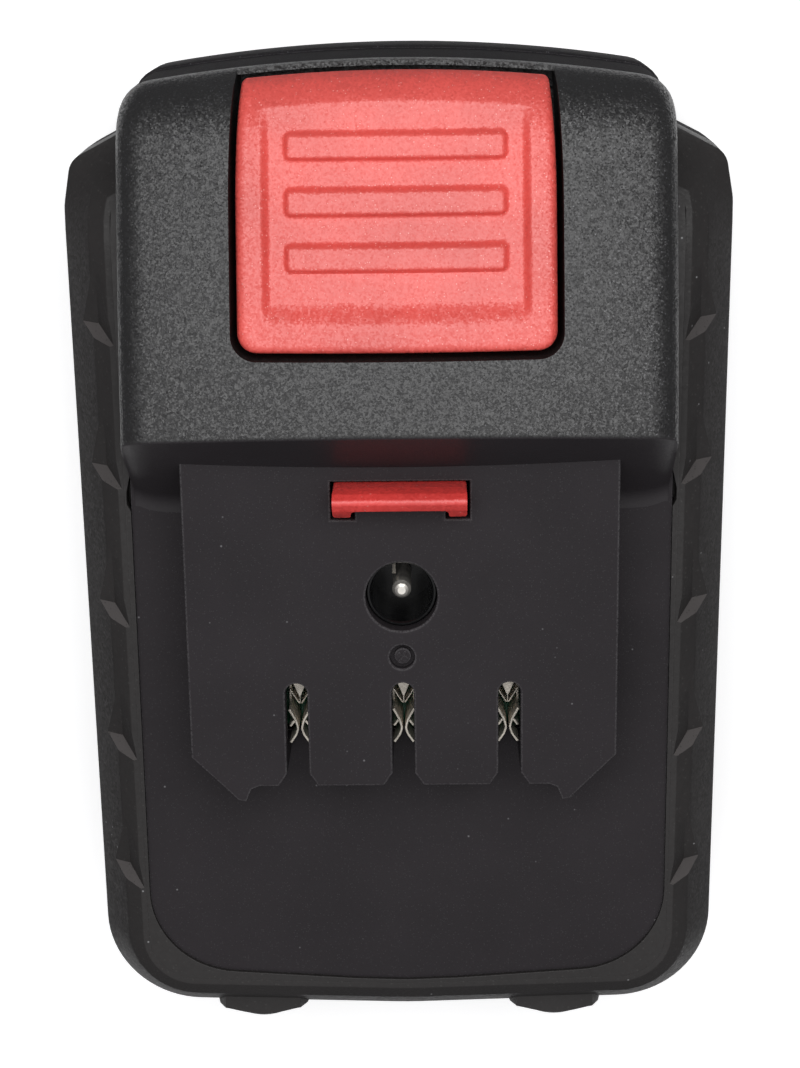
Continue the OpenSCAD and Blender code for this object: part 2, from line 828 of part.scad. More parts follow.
// Female clip: two spring arms that pinch a blade, in two tiers on one back plate.
module contact(k) {
    ys = [for (j = [0:12]) -2.4 + 4.8 * j / 12];
    inner = [for (y = ys) [0.28 + 0.13 * y * y, pinch_y + y]];
    outer = [for (j = [12:-1:0]) [inner[j].x + contact_t, inner[j].y]];
    back_y = pinch_y + 2.4;
    top_z = rail_z;
    color([0.88, 0.82, 0.68])
        translate([k * slot_pitch, 0, 0]) {
            for (s = [0, 1], z = [board_top + 1, top_z - 2])
                mirror([s, 0, 0])
                    translate([0, 0, z])
                        linear_extrude(height = 2)
                            polygon(concat(inner, outer));
            for (s = [0, 1])
                mirror([s, 0, 0])
                    box(inner[12].x, inner[12].x + contact_t, back_y - 0.1, back_y + 2.4, board_top, top_z);
            box(-inner[12].x - 0.1, inner[12].x + 0.1, back_y + 2, back_y + 2.4, board_top, top_z);
            box(-inner[12].x - 1.6, inner[12].x + 1.6, back_y + 0.4, back_y + 3.4, board_top, board_top + 0.4);
            translate([0, 0, top_z - 0.4])
                linear_extrude(height = 0.4)
                    polygon([
                        [-0.65, back_y - 0.6], [0.65, back_y - 0.6],
                        [1.05, back_y + 2.2], [-1.05, back_y + 2.2]
                    ]);
        }
}

module jack_body() {
    color([0.03, 0.03, 0.032])
        difference() {
            union() {
                box(-4.7, 4.7, jack_y - 4.7, jack_y + 4.7, board_top, rail_z - 1.4);
                rod([0, jack_y], 4.5, board_top, rail_z - fit);
            }
            rod([0, jack_y], jack_bore_d / 2, jack_floor, rail_z + 1);
            rod([0, jack_y], pin_root_r + 0.02, board_top - 1, rail_z);
            box(-1.1, 1.1, jack_y + 2.6, jack_y + 3.9, jack_floor, rail_z - 1.5);
        }
}

module jack_pin() {
    r = jack_pin_d / 2;
    color([0.85, 0.84, 0.8])
        translate([0, jack_y, 0]) {
            rotate_extrude()
                polygon([
                    [0, board_top], [pin_root_r, board_top], [pin_root_r, jack_floor + 0.3],
                    [r, jack_floor + 0.3], [r, rail_z], [r - 0.3, rail_z + 0.5],
                    [r - 0.6, rail_z + 0.7], [0, rail_z + 0.7]
                ]);
        }
}

module jack_spring() {
    z0 = jack_floor;
    z1 = rail_z - 1.6;
    mid = (z0 + z1) / 2;
    y = jack_y + 3.5;
    color([0.86, 0.83, 0.74])
        translate([-1, 0, 0])
            rotate([90, 0, 90])
                linear_extrude(height = 2)
                    polygon([
                        [y, z0], [y + 0.3, z0], [y + 0.3, z0 + 0.8], [y - 0.5, mid],
                        [y + 0.2, z1], [y - 0.1, z1], [y - 0.8, mid], [y, z0 + 0.7]
                    ]);
}

module transistor(s) {
    color([0.06, 0.06, 0.065])
        translate([s * 11.2, transistor_y, 0]) {
            box(-3.3, 3.3, -3.1, 3, board_top + 0.1, board_top + 2.3);
            box(-2.7, 2.7, -1.5, transistor_end - transistor_y, board_top, board_top + 0.5);
            for (x = [-2.3, 2.3])
                box(x - 0.4, x + 0.4, -5.2, -3, board_top, board_top + 0.6);
        }
}

module protection_chip() {
    color([0.07, 0.07, 0.075])
        translate([slot_pitch / 2, contact_end - 1.8, 0]) {
            box(-2.5, 2.5, -1.2, 1.2, board_top + 0.1, board_top + 1.5);
            for (x = [-1.9:1.27:1.92])
                box(x - 0.2, x + 0.2, -1.9, 1.9, board_top, board_top + 0.3);
        }
}

module sense_resistor() {
    color([0.2, 0.2, 0.2]) {
        box(board_half - 8.4, board_half - 2, jack_y - 8, jack_y - 5, board_top, board_top + 0.7);
    }
}

module board_passives() {
    color([0.62, 0.5, 0.36])
        for (k = [0:3])
            translate([-14 + 2.2 * k, transistor_end + part_gap, 0])
                box(-0.6, 0.6, 0, 2, board_top, board_top + 0.8);
}

module thermistor() {
    y1 = board_y1 + 7;
    r = 1.3;
    z = roof_top + r + 0.1;
    color([0.14, 0.2, 0.16]) {
        translate([14, y1, z])
            sphere(r = r, $fn = 32);
        for (s = [-1, 1])
            translate([14 + 0.6 * s, y1, z])
                rotate([90, 0, 0])
                    cylinder(r = 0.25, h = y1 - board_y1 - 0.05);
    }
}

lower_housing();
upper_housing();
side_grip();
release_latch();
coil_spring(-spring_x);  // latch_spring_left
coil_spring(spring_x);  // latch_spring_right
housing_screws();
cell(1);  // cell_1
cell(2);  // cell_2
cell(3);  // cell_3
cell(4);  // cell_4
cell(5);  // cell_5
sleeve(1);  // sleeve_1
sleeve(2);  // sleeve_2
sleeve(3);  // sleeve_3
sleeve(4);  // sleeve_4
sleeve(5);  // sleeve_5
end_ring(1);  // ring_1
end_ring(2);  // ring_2
end_ring(3);  // ring_3
end_ring(4);  // ring_4
end_ring(5);  // ring_5
mirror([1, 0, 0]) holder();  // holder_left
holder();  // holder_right
paper(1);  // paper_left
paper(0);  // paper_right
strip(0, cell_y(1), cell_y(1), cell_y(1), board_y0 + 10);  // tab_positive
strip(1, cell_y(5), cell_y(5), cell_y(5), board_y1 - 2);  // tab_negative
strip(1, cell_y(1), cell_y(2), cell_y(1.5), board_y0 + 10);  // link_1_2
strip(0, cell_y(2), cell_y(3), cell_y(2.5), cell_y(2.5));  // link_2_3
strip(1, cell_y(3), cell_y(4), cell_y(3), cell_y(3) - 1);  // link_3_4
strip(0, cell_y(4), cell_y(5), cell_y(4.5), board_y1 - 2);  // link_4_5
circuit_board();
contact(-1);  // contact_negative
contact(0);  // contact_sense
contact(1);  // contact_positive
jack_body();
jack_pin();
jack_spring();
transistor(-1);  // transistor_left
transistor(1);  // transistor_right
protection_chip();
sense_resistor();
board_passives();
thermistor();
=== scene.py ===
from math import acos, atan2, ceil, cos, degrees, hypot, pi, radians, sin, sqrt, tan

import bmesh
import bpy
import numpy as np
from mathutils import Matrix, Vector
from mathutils.geometry import tessellate_polygon


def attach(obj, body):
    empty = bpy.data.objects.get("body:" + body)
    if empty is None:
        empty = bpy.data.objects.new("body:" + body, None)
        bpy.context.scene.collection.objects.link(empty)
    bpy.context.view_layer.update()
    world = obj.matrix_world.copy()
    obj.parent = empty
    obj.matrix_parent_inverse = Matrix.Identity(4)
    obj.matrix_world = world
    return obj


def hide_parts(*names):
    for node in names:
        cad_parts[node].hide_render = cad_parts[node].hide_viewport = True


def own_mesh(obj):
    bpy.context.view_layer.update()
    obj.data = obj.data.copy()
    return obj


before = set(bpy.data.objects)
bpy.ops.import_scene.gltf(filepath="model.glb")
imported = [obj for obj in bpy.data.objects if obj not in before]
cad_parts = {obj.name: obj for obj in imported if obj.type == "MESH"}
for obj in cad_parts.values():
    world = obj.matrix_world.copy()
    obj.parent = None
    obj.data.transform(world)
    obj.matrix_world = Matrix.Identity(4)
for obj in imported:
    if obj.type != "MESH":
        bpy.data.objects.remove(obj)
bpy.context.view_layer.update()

bl_info = {
    "name": "Slide-on battery pack",
    "version": (1, 0, 0),
    "blender": (4, 5, 0),
    "location": "View3D > Sidebar > Pack",
    "description": "Dresses the packed battery pack: shells, grip, button, springs, terminals and stage",
    "category": "Object",
}

MM = 0.001

# Plan of the housing, in millimetres: +Y is the button's end.
LEAD_Y = -57.2
TRAIL_Y = 58.8
FLANK_Y = 47.2
HALF_LEAD = 36.85
TAPER = 0.6
HALF_TRAIL = HALF_LEAD + TAPER
FLANK = [
    (0, LEAD_Y), (HALF_LEAD, LEAD_Y + 1.1), (HALF_TRAIL, FLANK_Y - 4.9),
    (HALF_TRAIL - 0.8, FLANK_Y), (27, FLANK_Y + 5),
    (-27, FLANK_Y + 5), (-HALF_TRAIL + 0.8, FLANK_Y),
    (-HALF_TRAIL, FLANK_Y - 4.9), (-HALF_LEAD, LEAD_Y + 1.1),
]
FLANK_RADII = [60, 11.5, 6, 2.5, 0.6, 0.6, 2.5, 6, 11.5]
DECK_HALF = 30.7
DECK = [
    (0, LEAD_Y + 6.2), (DECK_HALF, LEAD_Y + 8.3), (DECK_HALF, FLANK_Y - 3), (-DECK_HALF, FLANK_Y - 3),
    (-DECK_HALF, LEAD_Y + 8.3),
]
DECK_RADII = [90, 10.5, 1, 1, 10.5]

# Heights.
SEAM_Z = 13.0
DECK_Z = 25.4
DECK_TOP = 27.4
RIM_Z = 27.8
RAIL_Z = 33.0
RAIL_TOP = 36.0
CREST_Z = 42.5
ROOF_TOP = 22.8
BOARD_TOP = 24.6

# Path of the head: a long shallow arc, then a tight arc down the trailing wall.
HEAD_HALF = 30.2
CROWN_R = 170.0
LIP_Y = 15.5
CREST_Y = 20.4
JOIN_A = radians(18)
END_R = 11.0
END_CY = TRAIL_Y - END_R
JOIN_Y = END_CY + END_R * sin(JOIN_A)
FACE_R = (JOIN_Y - CREST_Y) / (sin(JOIN_A) - sin(radians(9)))
JOIN_Z = CREST_Z - FACE_R * (cos(radians(9)) - cos(JOIN_A))
END_CZ = JOIN_Z - END_R * cos(JOIN_A)
FACE_CY = JOIN_Y - FACE_R * sin(JOIN_A)
FACE_CZ = JOIN_Z - FACE_R * cos(JOIN_A)

# Rows of points along one line over the head, and how its crest stays back at the sides.
FOOT_ROWS = 6
SLOPE_ROWS = FOOT_ROWS + 5
CREST_ROWS = 6
WALL_ROWS = 12
CREST_BACK = 0.36
LEDGE = 0.35
HEAD_FOOT = DECK_Z + 0.9
HEAD_BACK = 40.0

# Button: it draws in by NARROW on each side, from NARROW_Y to its trailing end.
BUTTON_HALF = 17.0
BUTTON_Y0 = CREST_Y + 8.6
BUTTON_Y1 = TRAIL_Y - 1.3
BUTTON_FOOT = 28.6
BUTTON_SINK = 0.12
BUTTON_GAP = 0.7
NARROW = 0.65
NARROW_Y = 44.0
SILL_Z = 26.5
HOLLOW_HALF = 14.1
HOLLOW_LOW = BUTTON_Y0 + 2.7
HOLLOW_TOP = BUTTON_Y1 - 2.8
RIBS_Y = [BUTTON_Y0 + 9.75 + 5.7 * k for k in range(3)]
RIB_HALF = (11.8, 1.5)

# Latch tooth, its arm and its springs.
TOOTH_Y = 13.75
TOOTH_HALF = 7.3
TOOTH_LEG = 1.95
TOOTH_GAP = 0.35
ARM_HALF = 7.0
ARM_Z = (28.65, 30.5)
SPRING_X = 9.5
SPRING_Y = BUTTON_Y0 + 14.6
SPRING_SEAT = END_CZ + 9.1

# Contact slots, jack, mould gate and screws.
SLOT_PITCH = 12.0
SLOT_Y0 = -22.0
SLOT_Y1 = -9.6
SLOT_R = 1.25
JACK_Y = 0.6
GATE_Y = JACK_Y - 7.05
POSTS = [(-22, -50.9), (22, -50.9), (-22.6, 51.5), (22.6, 51.5)]

# Shoulders: they dip over a length at their trailing end, and carry five notches each.
DIP_SPAN = 7.6
DIP_SLOPE = 0.42
LEDGE_INSET = 5.88
NOTCHES = 5
NOTCH_FIRST = 17.6
NOTCH_PITCH = 16.5
NOTCH_INSET = 3.7
NOTCH_DEEP = 2.8
# The edges of a notch run from its deepest point along these directions.
NOTCH_EDGES = ((-1.95, -2.0, 2.8), (2.2, 0.2, -0.9), (-0.2, 7.0, 2.1))
BUMP_X = 18.0

# Camera, fitted to the photo: focal length and height in its pixels, degrees, metres.
PHOTO_FOCAL = 2273.1
PHOTO_HIGH = 1068
VIEW_TILT = 16.73
VIEW_ROLL = -0.545
VIEW_AIM = (0.0, 0.0079, 0.036)
VIEW_FAR = 0.25
VIEW_SIDE = 0.0038


# Outlines

def unit(v):
    return v / hypot(v[0], v[1])


def rounded(points, radii, inset, step=5.0):
    """Inset a counter-clockwise polygon and round its corners; one list of points per corner."""
    pts = [np.array(p, float) for p in points]
    n = len(pts)
    moved = []
    for i in range(n):
        a = unit(pts[i] - pts[i - 1])
        b = unit(pts[(i + 1) % n] - pts[i])
        na = np.array((a[1], -a[0]))
        nb = np.array((b[1], -b[0]))
        moved.append(pts[i] - inset * (na + nb) / (1 + na @ nb))
    corners = []
    for i in range(n):
        r = max(radii[i] - inset, 0.4)
        p = moved[i]
        a = unit(moved[i - 1] - p)
        b = unit(moved[(i + 1) % n] - p)
        half = acos(a @ b) / 2
        centre = p + unit(a + b) * r / sin(half)
        start = p + a * r / tan(half) - centre
        turn = pi - 2 * half
        count = max(2, ceil(degrees(turn) / step))
        corner = []
        for k in range(count + 1):
            w = turn * k / count
            turned = (start[0] * cos(w) - start[1] * sin(w), start[0] * sin(w) + start[1] * cos(w))
            corner.append(centre + turned)
        corners.append(corner)
    return corners


def joined(corners):
    return np.array([p for corner in corners for p in corner])


def line(a, b, count):
    """Points between a and b, without the ends."""
    return [a + (b - a) * k / count for k in range(1, count)]


def head_curve(t):
    """Crowned curve across the head, right to left, inset by t: pairs of x and rise."""
    edge = 4.0
    x = HEAD_HALF - edge
    low = -CROWN_R + sqrt((CROWN_R - edge) ** 2 - x * x)
    top = atan2(low + CROWN_R, x)
    pts = [(x + (edge - t) * cos(top * k / 8), low + (edge - t) * sin(top * k / 8)) for k in range(9)]
    for k in range(1, 24):
        a = top + (pi - 2 * top) * k / 24
        pts.append(((CROWN_R - t) * cos(a), -CROWN_R + (CROWN_R - t) * sin(a)))
    return pts + [(-p[0], p[1]) for p in reversed(pts[:9])]


def tail(t):
    """Plan of the housing's trailing end, inset by t."""
    w = HEAD_HALF - t
    pts = [(w, TRAIL_Y - 26)] + [(p[0], TRAIL_Y + p[1]) for p in head_curve(t)] + [(-w, TRAIL_Y - 26)]
    return np.array(pts)


def reach(outline, angles):
    """Distance from the origin to an outline along each angle; zero where the ray misses it."""
    a = outline
    b = np.roll(outline, -1, axis=0)
    far = np.zeros(len(angles))
    for i, w in enumerate(angles):
        d = np.array((cos(w), sin(w)))
        side_a = a @ (-d[1], d[0])
        side_b = b @ (-d[1], d[0])
        cross = (side_a <= 0) != (side_b <= 0)
        if cross.any():
            s = side_a[cross] / (side_a[cross] - side_b[cross])
            far[i] = max(((a[cross] + s[:, None] * (b[cross] - a[cross])) @ d).max(), 0)
    return far


def plan_loop(inset, angles):
    """Outline of flanks and tail together, inset."""
    flank = reach(joined(rounded(FLANK, FLANK_RADII, inset)), angles)
    r = np.maximum(flank, reach(tail(inset), angles))
    return np.stack([r * np.cos(angles), r * np.sin(angles)], axis=1)


def offset_loop(points, d):
    """Move each edge of a counter-clockwise loop outwards by d, with mitred corners."""
    pts = np.array(points, float)
    n = len(pts)
    out = []
    for i in range(n):
        a = unit(pts[i] - pts[i - 1])
        b = unit(pts[(i + 1) % n] - pts[i])
        na = np.array((a[1], -a[0]))
        nb = np.array((b[1], -b[0]))
        out.append(pts[i] + d * (na + nb) / max(1 + na @ nb, 0.3))
    return np.array(out)


def circle_loop(x, y, r, count=48):
    turns = [2 * pi * k / count for k in range(count)]
    return np.array([(x + r * cos(a), y + r * sin(a)) for a in turns])


def bezier(a, b, c, steps):
    """Quadratic curve from a to c, with its ends."""
    places = [k / steps for k in range(steps + 1)]
    return [(1 - t) ** 2 * a + 2 * t * (1 - t) * b + t * t * c for t in places]


def fillet_path(points, radii, steps=5):
    """Open path of pairs whose inner corners are rounded."""
    pts = [np.array(p, float) for p in points]
    out = [pts[0]]
    for i in range(1, len(pts) - 1):
        a = unit(pts[i - 1] - pts[i])
        b = unit(pts[i + 1] - pts[i])
        half = acos(max(-1.0, min(1.0, a @ b))) / 2
        short = radii[i] / tan(half)
        out += bezier(pts[i] + a * short, pts[i], pts[i] + b * short, steps)
    return out + [pts[-1]]


def strip_outline(path, radii, thick, steps):
    """Outline of a strip of even thickness along a path with rounded corners."""
    mid = np.array(fillet_path(path, radii, steps))
    step = np.gradient(mid, axis=0)
    length = np.hypot(step[:, 0], step[:, 1])[:, None]
    side = np.stack([-step[:, 1], step[:, 0]], axis=1) / length * thick / 2
    return np.concatenate([mid - side, (mid + side)[::-1]])


def mirrored(points):
    """The same places on the other side of the middle, in reverse order."""
    return [(-p[0], p[1]) for p in reversed(points)]


def rectangle(x0, y0, x1, y1):
    return [(x0, y0), (x1, y0), (x1, y1), (x0, y1)]


# Meshes

class Shape:
    """Points, faces with material slots, and an edge value per point that makes worn edges paler, partly as a
    painted highlight, collected for one mesh.
    """

    def __init__(self):
        self.points = []
        self.faces = []
        self.slots = []
        self.wear_and_highlight = []

    def face(self, corners, slot=0):
        self.faces.append(tuple(corners))
        self.slots.append(slot)

    def add(self, points, wear_and_highlight=0.0):
        start = len(self.points)
        self.points.extend([tuple(float(c) for c in p) for p in points])
        self.wear_and_highlight.extend([wear_and_highlight] * len(points))
        return list(range(start, len(self.points)))

    def wall(self, low, high, closed=True, slot=0):
        n = len(low)
        for k in range(n if closed else n - 1):
            q = (k + 1) % n
            self.face((low[k], low[q], high[q], high[k]), slot)

    def cap(self, loops):
        """Flat cap over an outer loop and its holes."""
        flat = [[Vector(self.points[i]) for i in loop] for loop in loops]
        index = [i for loop in loops for i in loop]
        for tri in tessellate_polygon(flat):
            self.face(index[i] for i in tri)

    def slab(self, outer, holes, z0, z1, bevel, steps=4, band=0.35):
        """Plate between two heights whose edges are rounded, also round its holes."""
        # The third value of each row pales the bevel's middle: wear, partly a painted highlight.
        profile = [(z0, bevel + band, 0.0)]
        for k in range(steps + 1):
            a = pi / 2 * k / steps
            profile.append((z0 + bevel * (1 - cos(a)) if bevel else z0, bevel * (1 - sin(a)), sin(2 * a)))
        for k in range(steps + 1):
            a = pi / 2 * k / steps
            profile.append((z1 - bevel * (1 - sin(a)), bevel * (1 - cos(a)), sin(2 * a)))
        profile.append((z1, bevel + band, 0.0))
        ends = []
        for number, loop in enumerate([outer] + holes):
            sign = -1 if number == 0 else 1
            rings = []
            for z, inset, wear_and_highlight in profile:
                ring = offset_loop(loop, sign * inset)
                rings.append(self.add([(p[0], p[1], z) for p in ring], wear_and_highlight))
            for low, high in zip(rings, rings[1:]):
                self.wall(low, high)
            ends.append((rings[0], rings[-1]))
        self.cap([e[0] for e in ends])
        self.cap([e[1] for e in ends])

    def prism(self, outline, z0, z1):
        """Upright prism over a plan outline, with square edges."""
        low = self.add([(p[0], p[1], z0) for p in outline])
        high = self.add([(p[0], p[1], z1) for p in outline])
        self.wall(low, high)
        self.cap([low])
        self.cap([high])

    def extrusion(self, outline, x0, x1):
        """Outline of Y and Z, drawn out along X."""
        left = self.add([(x0, p[0], p[1]) for p in outline])
        right = self.add([(x1, p[0], p[1]) for p in outline])
        self.wall(left, right)
        self.face(left)
        self.face(reversed(right))

    def build(self, name, material, sharp=34.0):
        """Make the object from what was collected."""
        mesh = bpy.data.meshes.new(name)
        mesh.from_pydata([tuple(c * MM for c in p) for p in self.points], [], self.faces)
        # Per-point edge value for the materials: paler worn edges, partly a painted highlight where edges
        # catch light.
        layer = mesh.attributes.new("wear_and_highlight", "FLOAT", "POINT")
        layer.data.foreach_set("value", self.wear_and_highlight)
        mesh.polygons.foreach_set("material_index", self.slots)
        return finish_mesh(name, mesh, material, sharp)


def finish_mesh(name, mesh, material, sharp=34.0):
    """Merge doubles, turn faces outwards, set smooth shading and make the object."""
    bm = bmesh.new()
    bm.from_mesh(mesh)
    bmesh.ops.remove_doubles(bm, verts=bm.verts, dist=2e-6)
    bmesh.ops.dissolve_degenerate(bm, edges=bm.edges, dist=1e-6)
    bmesh.ops.recalc_face_normals(bm, faces=bm.faces)
    bm.to_mesh(mesh)
    bm.free()
    mesh.shade_smooth()
    mesh.set_sharp_from_angle(angle=radians(sharp))
    if not mesh.materials:
        for mat in material if isinstance(material, tuple) else (material,):
            mesh.materials.append(mat)
    piece = bpy.data.objects.new(name, mesh)
    bpy.context.scene.collection.objects.link(piece)
    return piece


def evaluated(piece):
    """Turn an object and its modifiers into a plain mesh."""
    bpy.context.view_layer.update()
    graph = bpy.context.evaluated_depsgraph_get()
    return bpy.data.meshes.new_from_object(piece.evaluated_get(graph), depsgraph=graph)


def cut(piece, cutter, material, sharp=34.0):
    """Take a cutter out of a piece and give the finished object."""
    name = piece.name
    mod = piece.modifiers.new("cut", "BOOLEAN")
    mod.operation = "DIFFERENCE"
    mod.solver = "EXACT"
    mod.use_self = True
    mod.object = cutter
    mesh = evaluated(piece)
    for old in (piece, cutter):
        bpy.data.objects.remove(old, do_unlink=True)
    return finish_mesh(name, mesh, material, sharp)


# Shader tools

def new_material(name):
    mat = bpy.data.materials.new(name)
    mat.use_nodes = True
    mat.node_tree.nodes.clear()
    out = mat.node_tree.nodes.new("ShaderNodeOutputMaterial")
    shader = mat.node_tree.nodes.new("ShaderNodeBsdfPrincipled")
    mat.node_tree.links.new(shader.outputs["BSDF"], out.inputs["Surface"])
    return mat, mat.node_tree, shader


def node(tree, kind, **values):
    made = tree.nodes.new(kind)
    for key, value in values.items():
        setattr(made, key, value)
    return made


def new_group(name, inputs, outputs):
    tree = bpy.data.node_groups.new(name, "ShaderNodeTree")
    for label, default in inputs:
        kind = "NodeSocketColor" if isinstance(default, tuple) else "NodeSocketFloat"
        socket = tree.interface.new_socket(label, in_out="INPUT", socket_type=kind)
        socket.default_value = default
    for label, kind in outputs:
        tree.interface.new_socket(label, in_out="OUTPUT", socket_type=kind)
    return tree, tree.nodes.new("NodeGroupInput"), tree.nodes.new("NodeGroupOutput")


def ramp(tree, source, low, high):
    """Map a value from low..high to 0..1."""
    made = node(tree, "ShaderNodeMapRange")
    made.inputs["From Min"].default_value = low
    made.inputs["From Max"].default_value = high
    tree.links.new(source, made.inputs["Value"])
    return made.outputs["Result"]


def maths(tree, operation, a, b):
    made = node(tree, "ShaderNodeMath", operation=operation)
    for socket, value in zip(made.inputs, (a, b)):
        if isinstance(value, (int, float)):
            socket.default_value = value
        else:
            tree.links.new(value, socket)
    return made.outputs[0]


def mix_colour(tree, factor, a, b):
    made = node(tree, "ShaderNodeMix", data_type="RGBA")
    for socket, value in ((made.inputs[0], factor), (made.inputs[6], a), (made.inputs[7], b)):
        if isinstance(value, (int, float)):
            socket.default_value = value
        elif isinstance(value, tuple):
            socket.default_value = value
        else:
            tree.links.new(value, socket)
    return made.outputs[2]


def grain_group():
    """Spark-eroded mould grain: height, bright specks that are partly painted glints, slow cloudiness and a
    random value per grain.
    """
    found = bpy.data.node_groups.get("MouldGrain")
    if found:
        return found
    tree, give, take = new_group(
        "MouldGrain",
        [("Scale", 4200.0), ("Speck And Glint Share", 0.2)],
        [
            ("Height", "NodeSocketFloat"), ("Speck And Glint", "NodeSocketFloat"), ("Cloud", "NodeSocketFloat"),
            ("Facet", "NodeSocketVector"),
        ],
    )
    place = node(tree, "ShaderNodeTexCoord").outputs["Object"]
    fine = node(tree, "ShaderNodeTexNoise")
    fine.inputs["Detail"].default_value = 2.0
    cells = node(tree, "ShaderNodeTexVoronoi")
    slow = node(tree, "ShaderNodeTexNoise")
    slow.inputs["Scale"].default_value = 90.0
    slow.inputs["Detail"].default_value = 4.0
    for tex in (fine, cells, slow):
        tree.links.new(place, tex.inputs["Vector"])
    tree.links.new(give.outputs["Scale"], fine.inputs["Scale"])
    tree.links.new(give.outputs["Scale"], cells.inputs["Scale"])
    tree.links.new(cells.outputs["Color"], take.inputs["Facet"])
    chance = node(tree, "ShaderNodeSeparateColor")
    tree.links.new(cells.outputs["Color"], chance.inputs["Color"])
    # A share of the grains becomes bright specks, partly painted glints.
    picked = maths(tree, "LESS_THAN", chance.outputs["Red"], give.outputs["Speck And Glint Share"])
    middle = ramp(tree, cells.outputs["Distance"], 0.42, 0.12)
    tree.links.new(maths(tree, "MULTIPLY", picked, middle), take.inputs["Speck And Glint"])
    tree.links.new(fine.outputs["Fac"], take.inputs["Height"])
    tree.links.new(ramp(tree, slow.outputs["Fac"], 0.3, 0.7), take.inputs["Cloud"])
    return tree


def dust_group():
    """Sparse specks of dust, as a mask."""
    found = bpy.data.node_groups.get("Dust")
    if found:
        return found
    tree, give, take = new_group("Dust", [("Amount", 0.5)], [("Mask", "NodeSocketFloat")])
    place = node(tree, "ShaderNodeTexCoord").outputs["Object"]
    cells = node(tree, "ShaderNodeTexVoronoi")
    cells.inputs["Scale"].default_value = 900.0
    tree.links.new(place, cells.inputs["Vector"])
    chance = node(tree, "ShaderNodeSeparateColor")
    tree.links.new(cells.outputs["Color"], chance.inputs["Color"])
    picked = maths(tree, "LESS_THAN", chance.outputs["Green"], 0.035)
    dot = ramp(tree, cells.outputs["Distance"], 0.14, 0.05)
    dots = maths(tree, "MULTIPLY", picked, dot)
    tree.links.new(maths(tree, "MULTIPLY", dots, give.outputs["Amount"]), take.inputs["Mask"])
    return tree


def moulded(name, colour, speck_and_glint, scale, share, rough, bump, wear_and_highlight=0.35, dust=0.4, specular=0.35, facet=0.06):
    """Moulded plastic: grain whose facets catch the light, specks that are partly painted glints, edges paler
    from wear and partly a painted highlight, and dust.
    """
    mat, tree, shader = new_material(name)
    grain = node(tree, "ShaderNodeGroup", node_tree=grain_group())
    grain.inputs["Scale"].default_value = scale
    grain.inputs["Speck And Glint Share"].default_value = share
    dirt = node(tree, "ShaderNodeGroup", node_tree=dust_group())
    dirt.inputs["Amount"].default_value = dust
    wear_and_highlight_attr = node(tree, "ShaderNodeAttribute", attribute_name="wear_and_highlight")
    dark = tuple(c * 0.82 for c in colour[:3]) + (1.0,)
    base = mix_colour(tree, grain.outputs["Cloud"], dark, colour)
    # Paler specks: partly grain, partly painted glints.
    base = mix_colour(tree, grain.outputs["Speck And Glint"], base, speck_and_glint)
    # Marked edges turn paler: partly wear, partly a painted highlight.
    pale_painted_light = tuple(min(1.0, c * 1.5 + 0.05) for c in colour[:3]) + (1.0,)
    edge = maths(tree, "MULTIPLY", wear_and_highlight_attr.outputs["Fac"], wear_and_highlight)
    edge = maths(tree, "MULTIPLY", edge, ramp(tree, grain.outputs["Height"], 0.3, 0.62))
    base = mix_colour(tree, edge, base, pale_painted_light)
    base = mix_colour(tree, dirt.outputs["Mask"], base, (0.42, 0.42, 0.43, 1.0))
    tree.links.new(base, shader.inputs["Base Color"])
    made = node(tree, "ShaderNodeMapRange")
    made.inputs["To Min"].default_value = rough - 0.1
    made.inputs["To Max"].default_value = rough + 0.12
    tree.links.new(grain.outputs["Height"], made.inputs["Value"])
    tree.links.new(made.outputs["Result"], shader.inputs["Roughness"])
    lift = node(tree, "ShaderNodeBump")
    lift.inputs["Strength"].default_value = bump
    lift.inputs["Distance"].default_value = 0.00006
    tree.links.new(grain.outputs["Height"], lift.inputs["Height"])
    lean = node(tree, "ShaderNodeVectorMath", operation="MULTIPLY_ADD")
    tree.links.new(grain.outputs["Facet"], lean.inputs[0])
    lean.inputs[1].default_value = (facet, facet, facet)
    tree.links.new(node(tree, "ShaderNodeNewGeometry").outputs["Normal"], lean.inputs[2])
    level = node(tree, "ShaderNodeVectorMath", operation="SUBTRACT")
    tree.links.new(lean.outputs["Vector"], level.inputs[0])
    level.inputs[1].default_value = (facet / 2, facet / 2, facet / 2)
    even = node(tree, "ShaderNodeVectorMath", operation="NORMALIZE")
    tree.links.new(level.outputs["Vector"], even.inputs[0])
    tree.links.new(even.outputs["Vector"], lift.inputs["Normal"])
    tree.links.new(lift.outputs["Normal"], shader.inputs["Normal"])
    shader.inputs["Specular IOR Level"].default_value = specular
    return mat


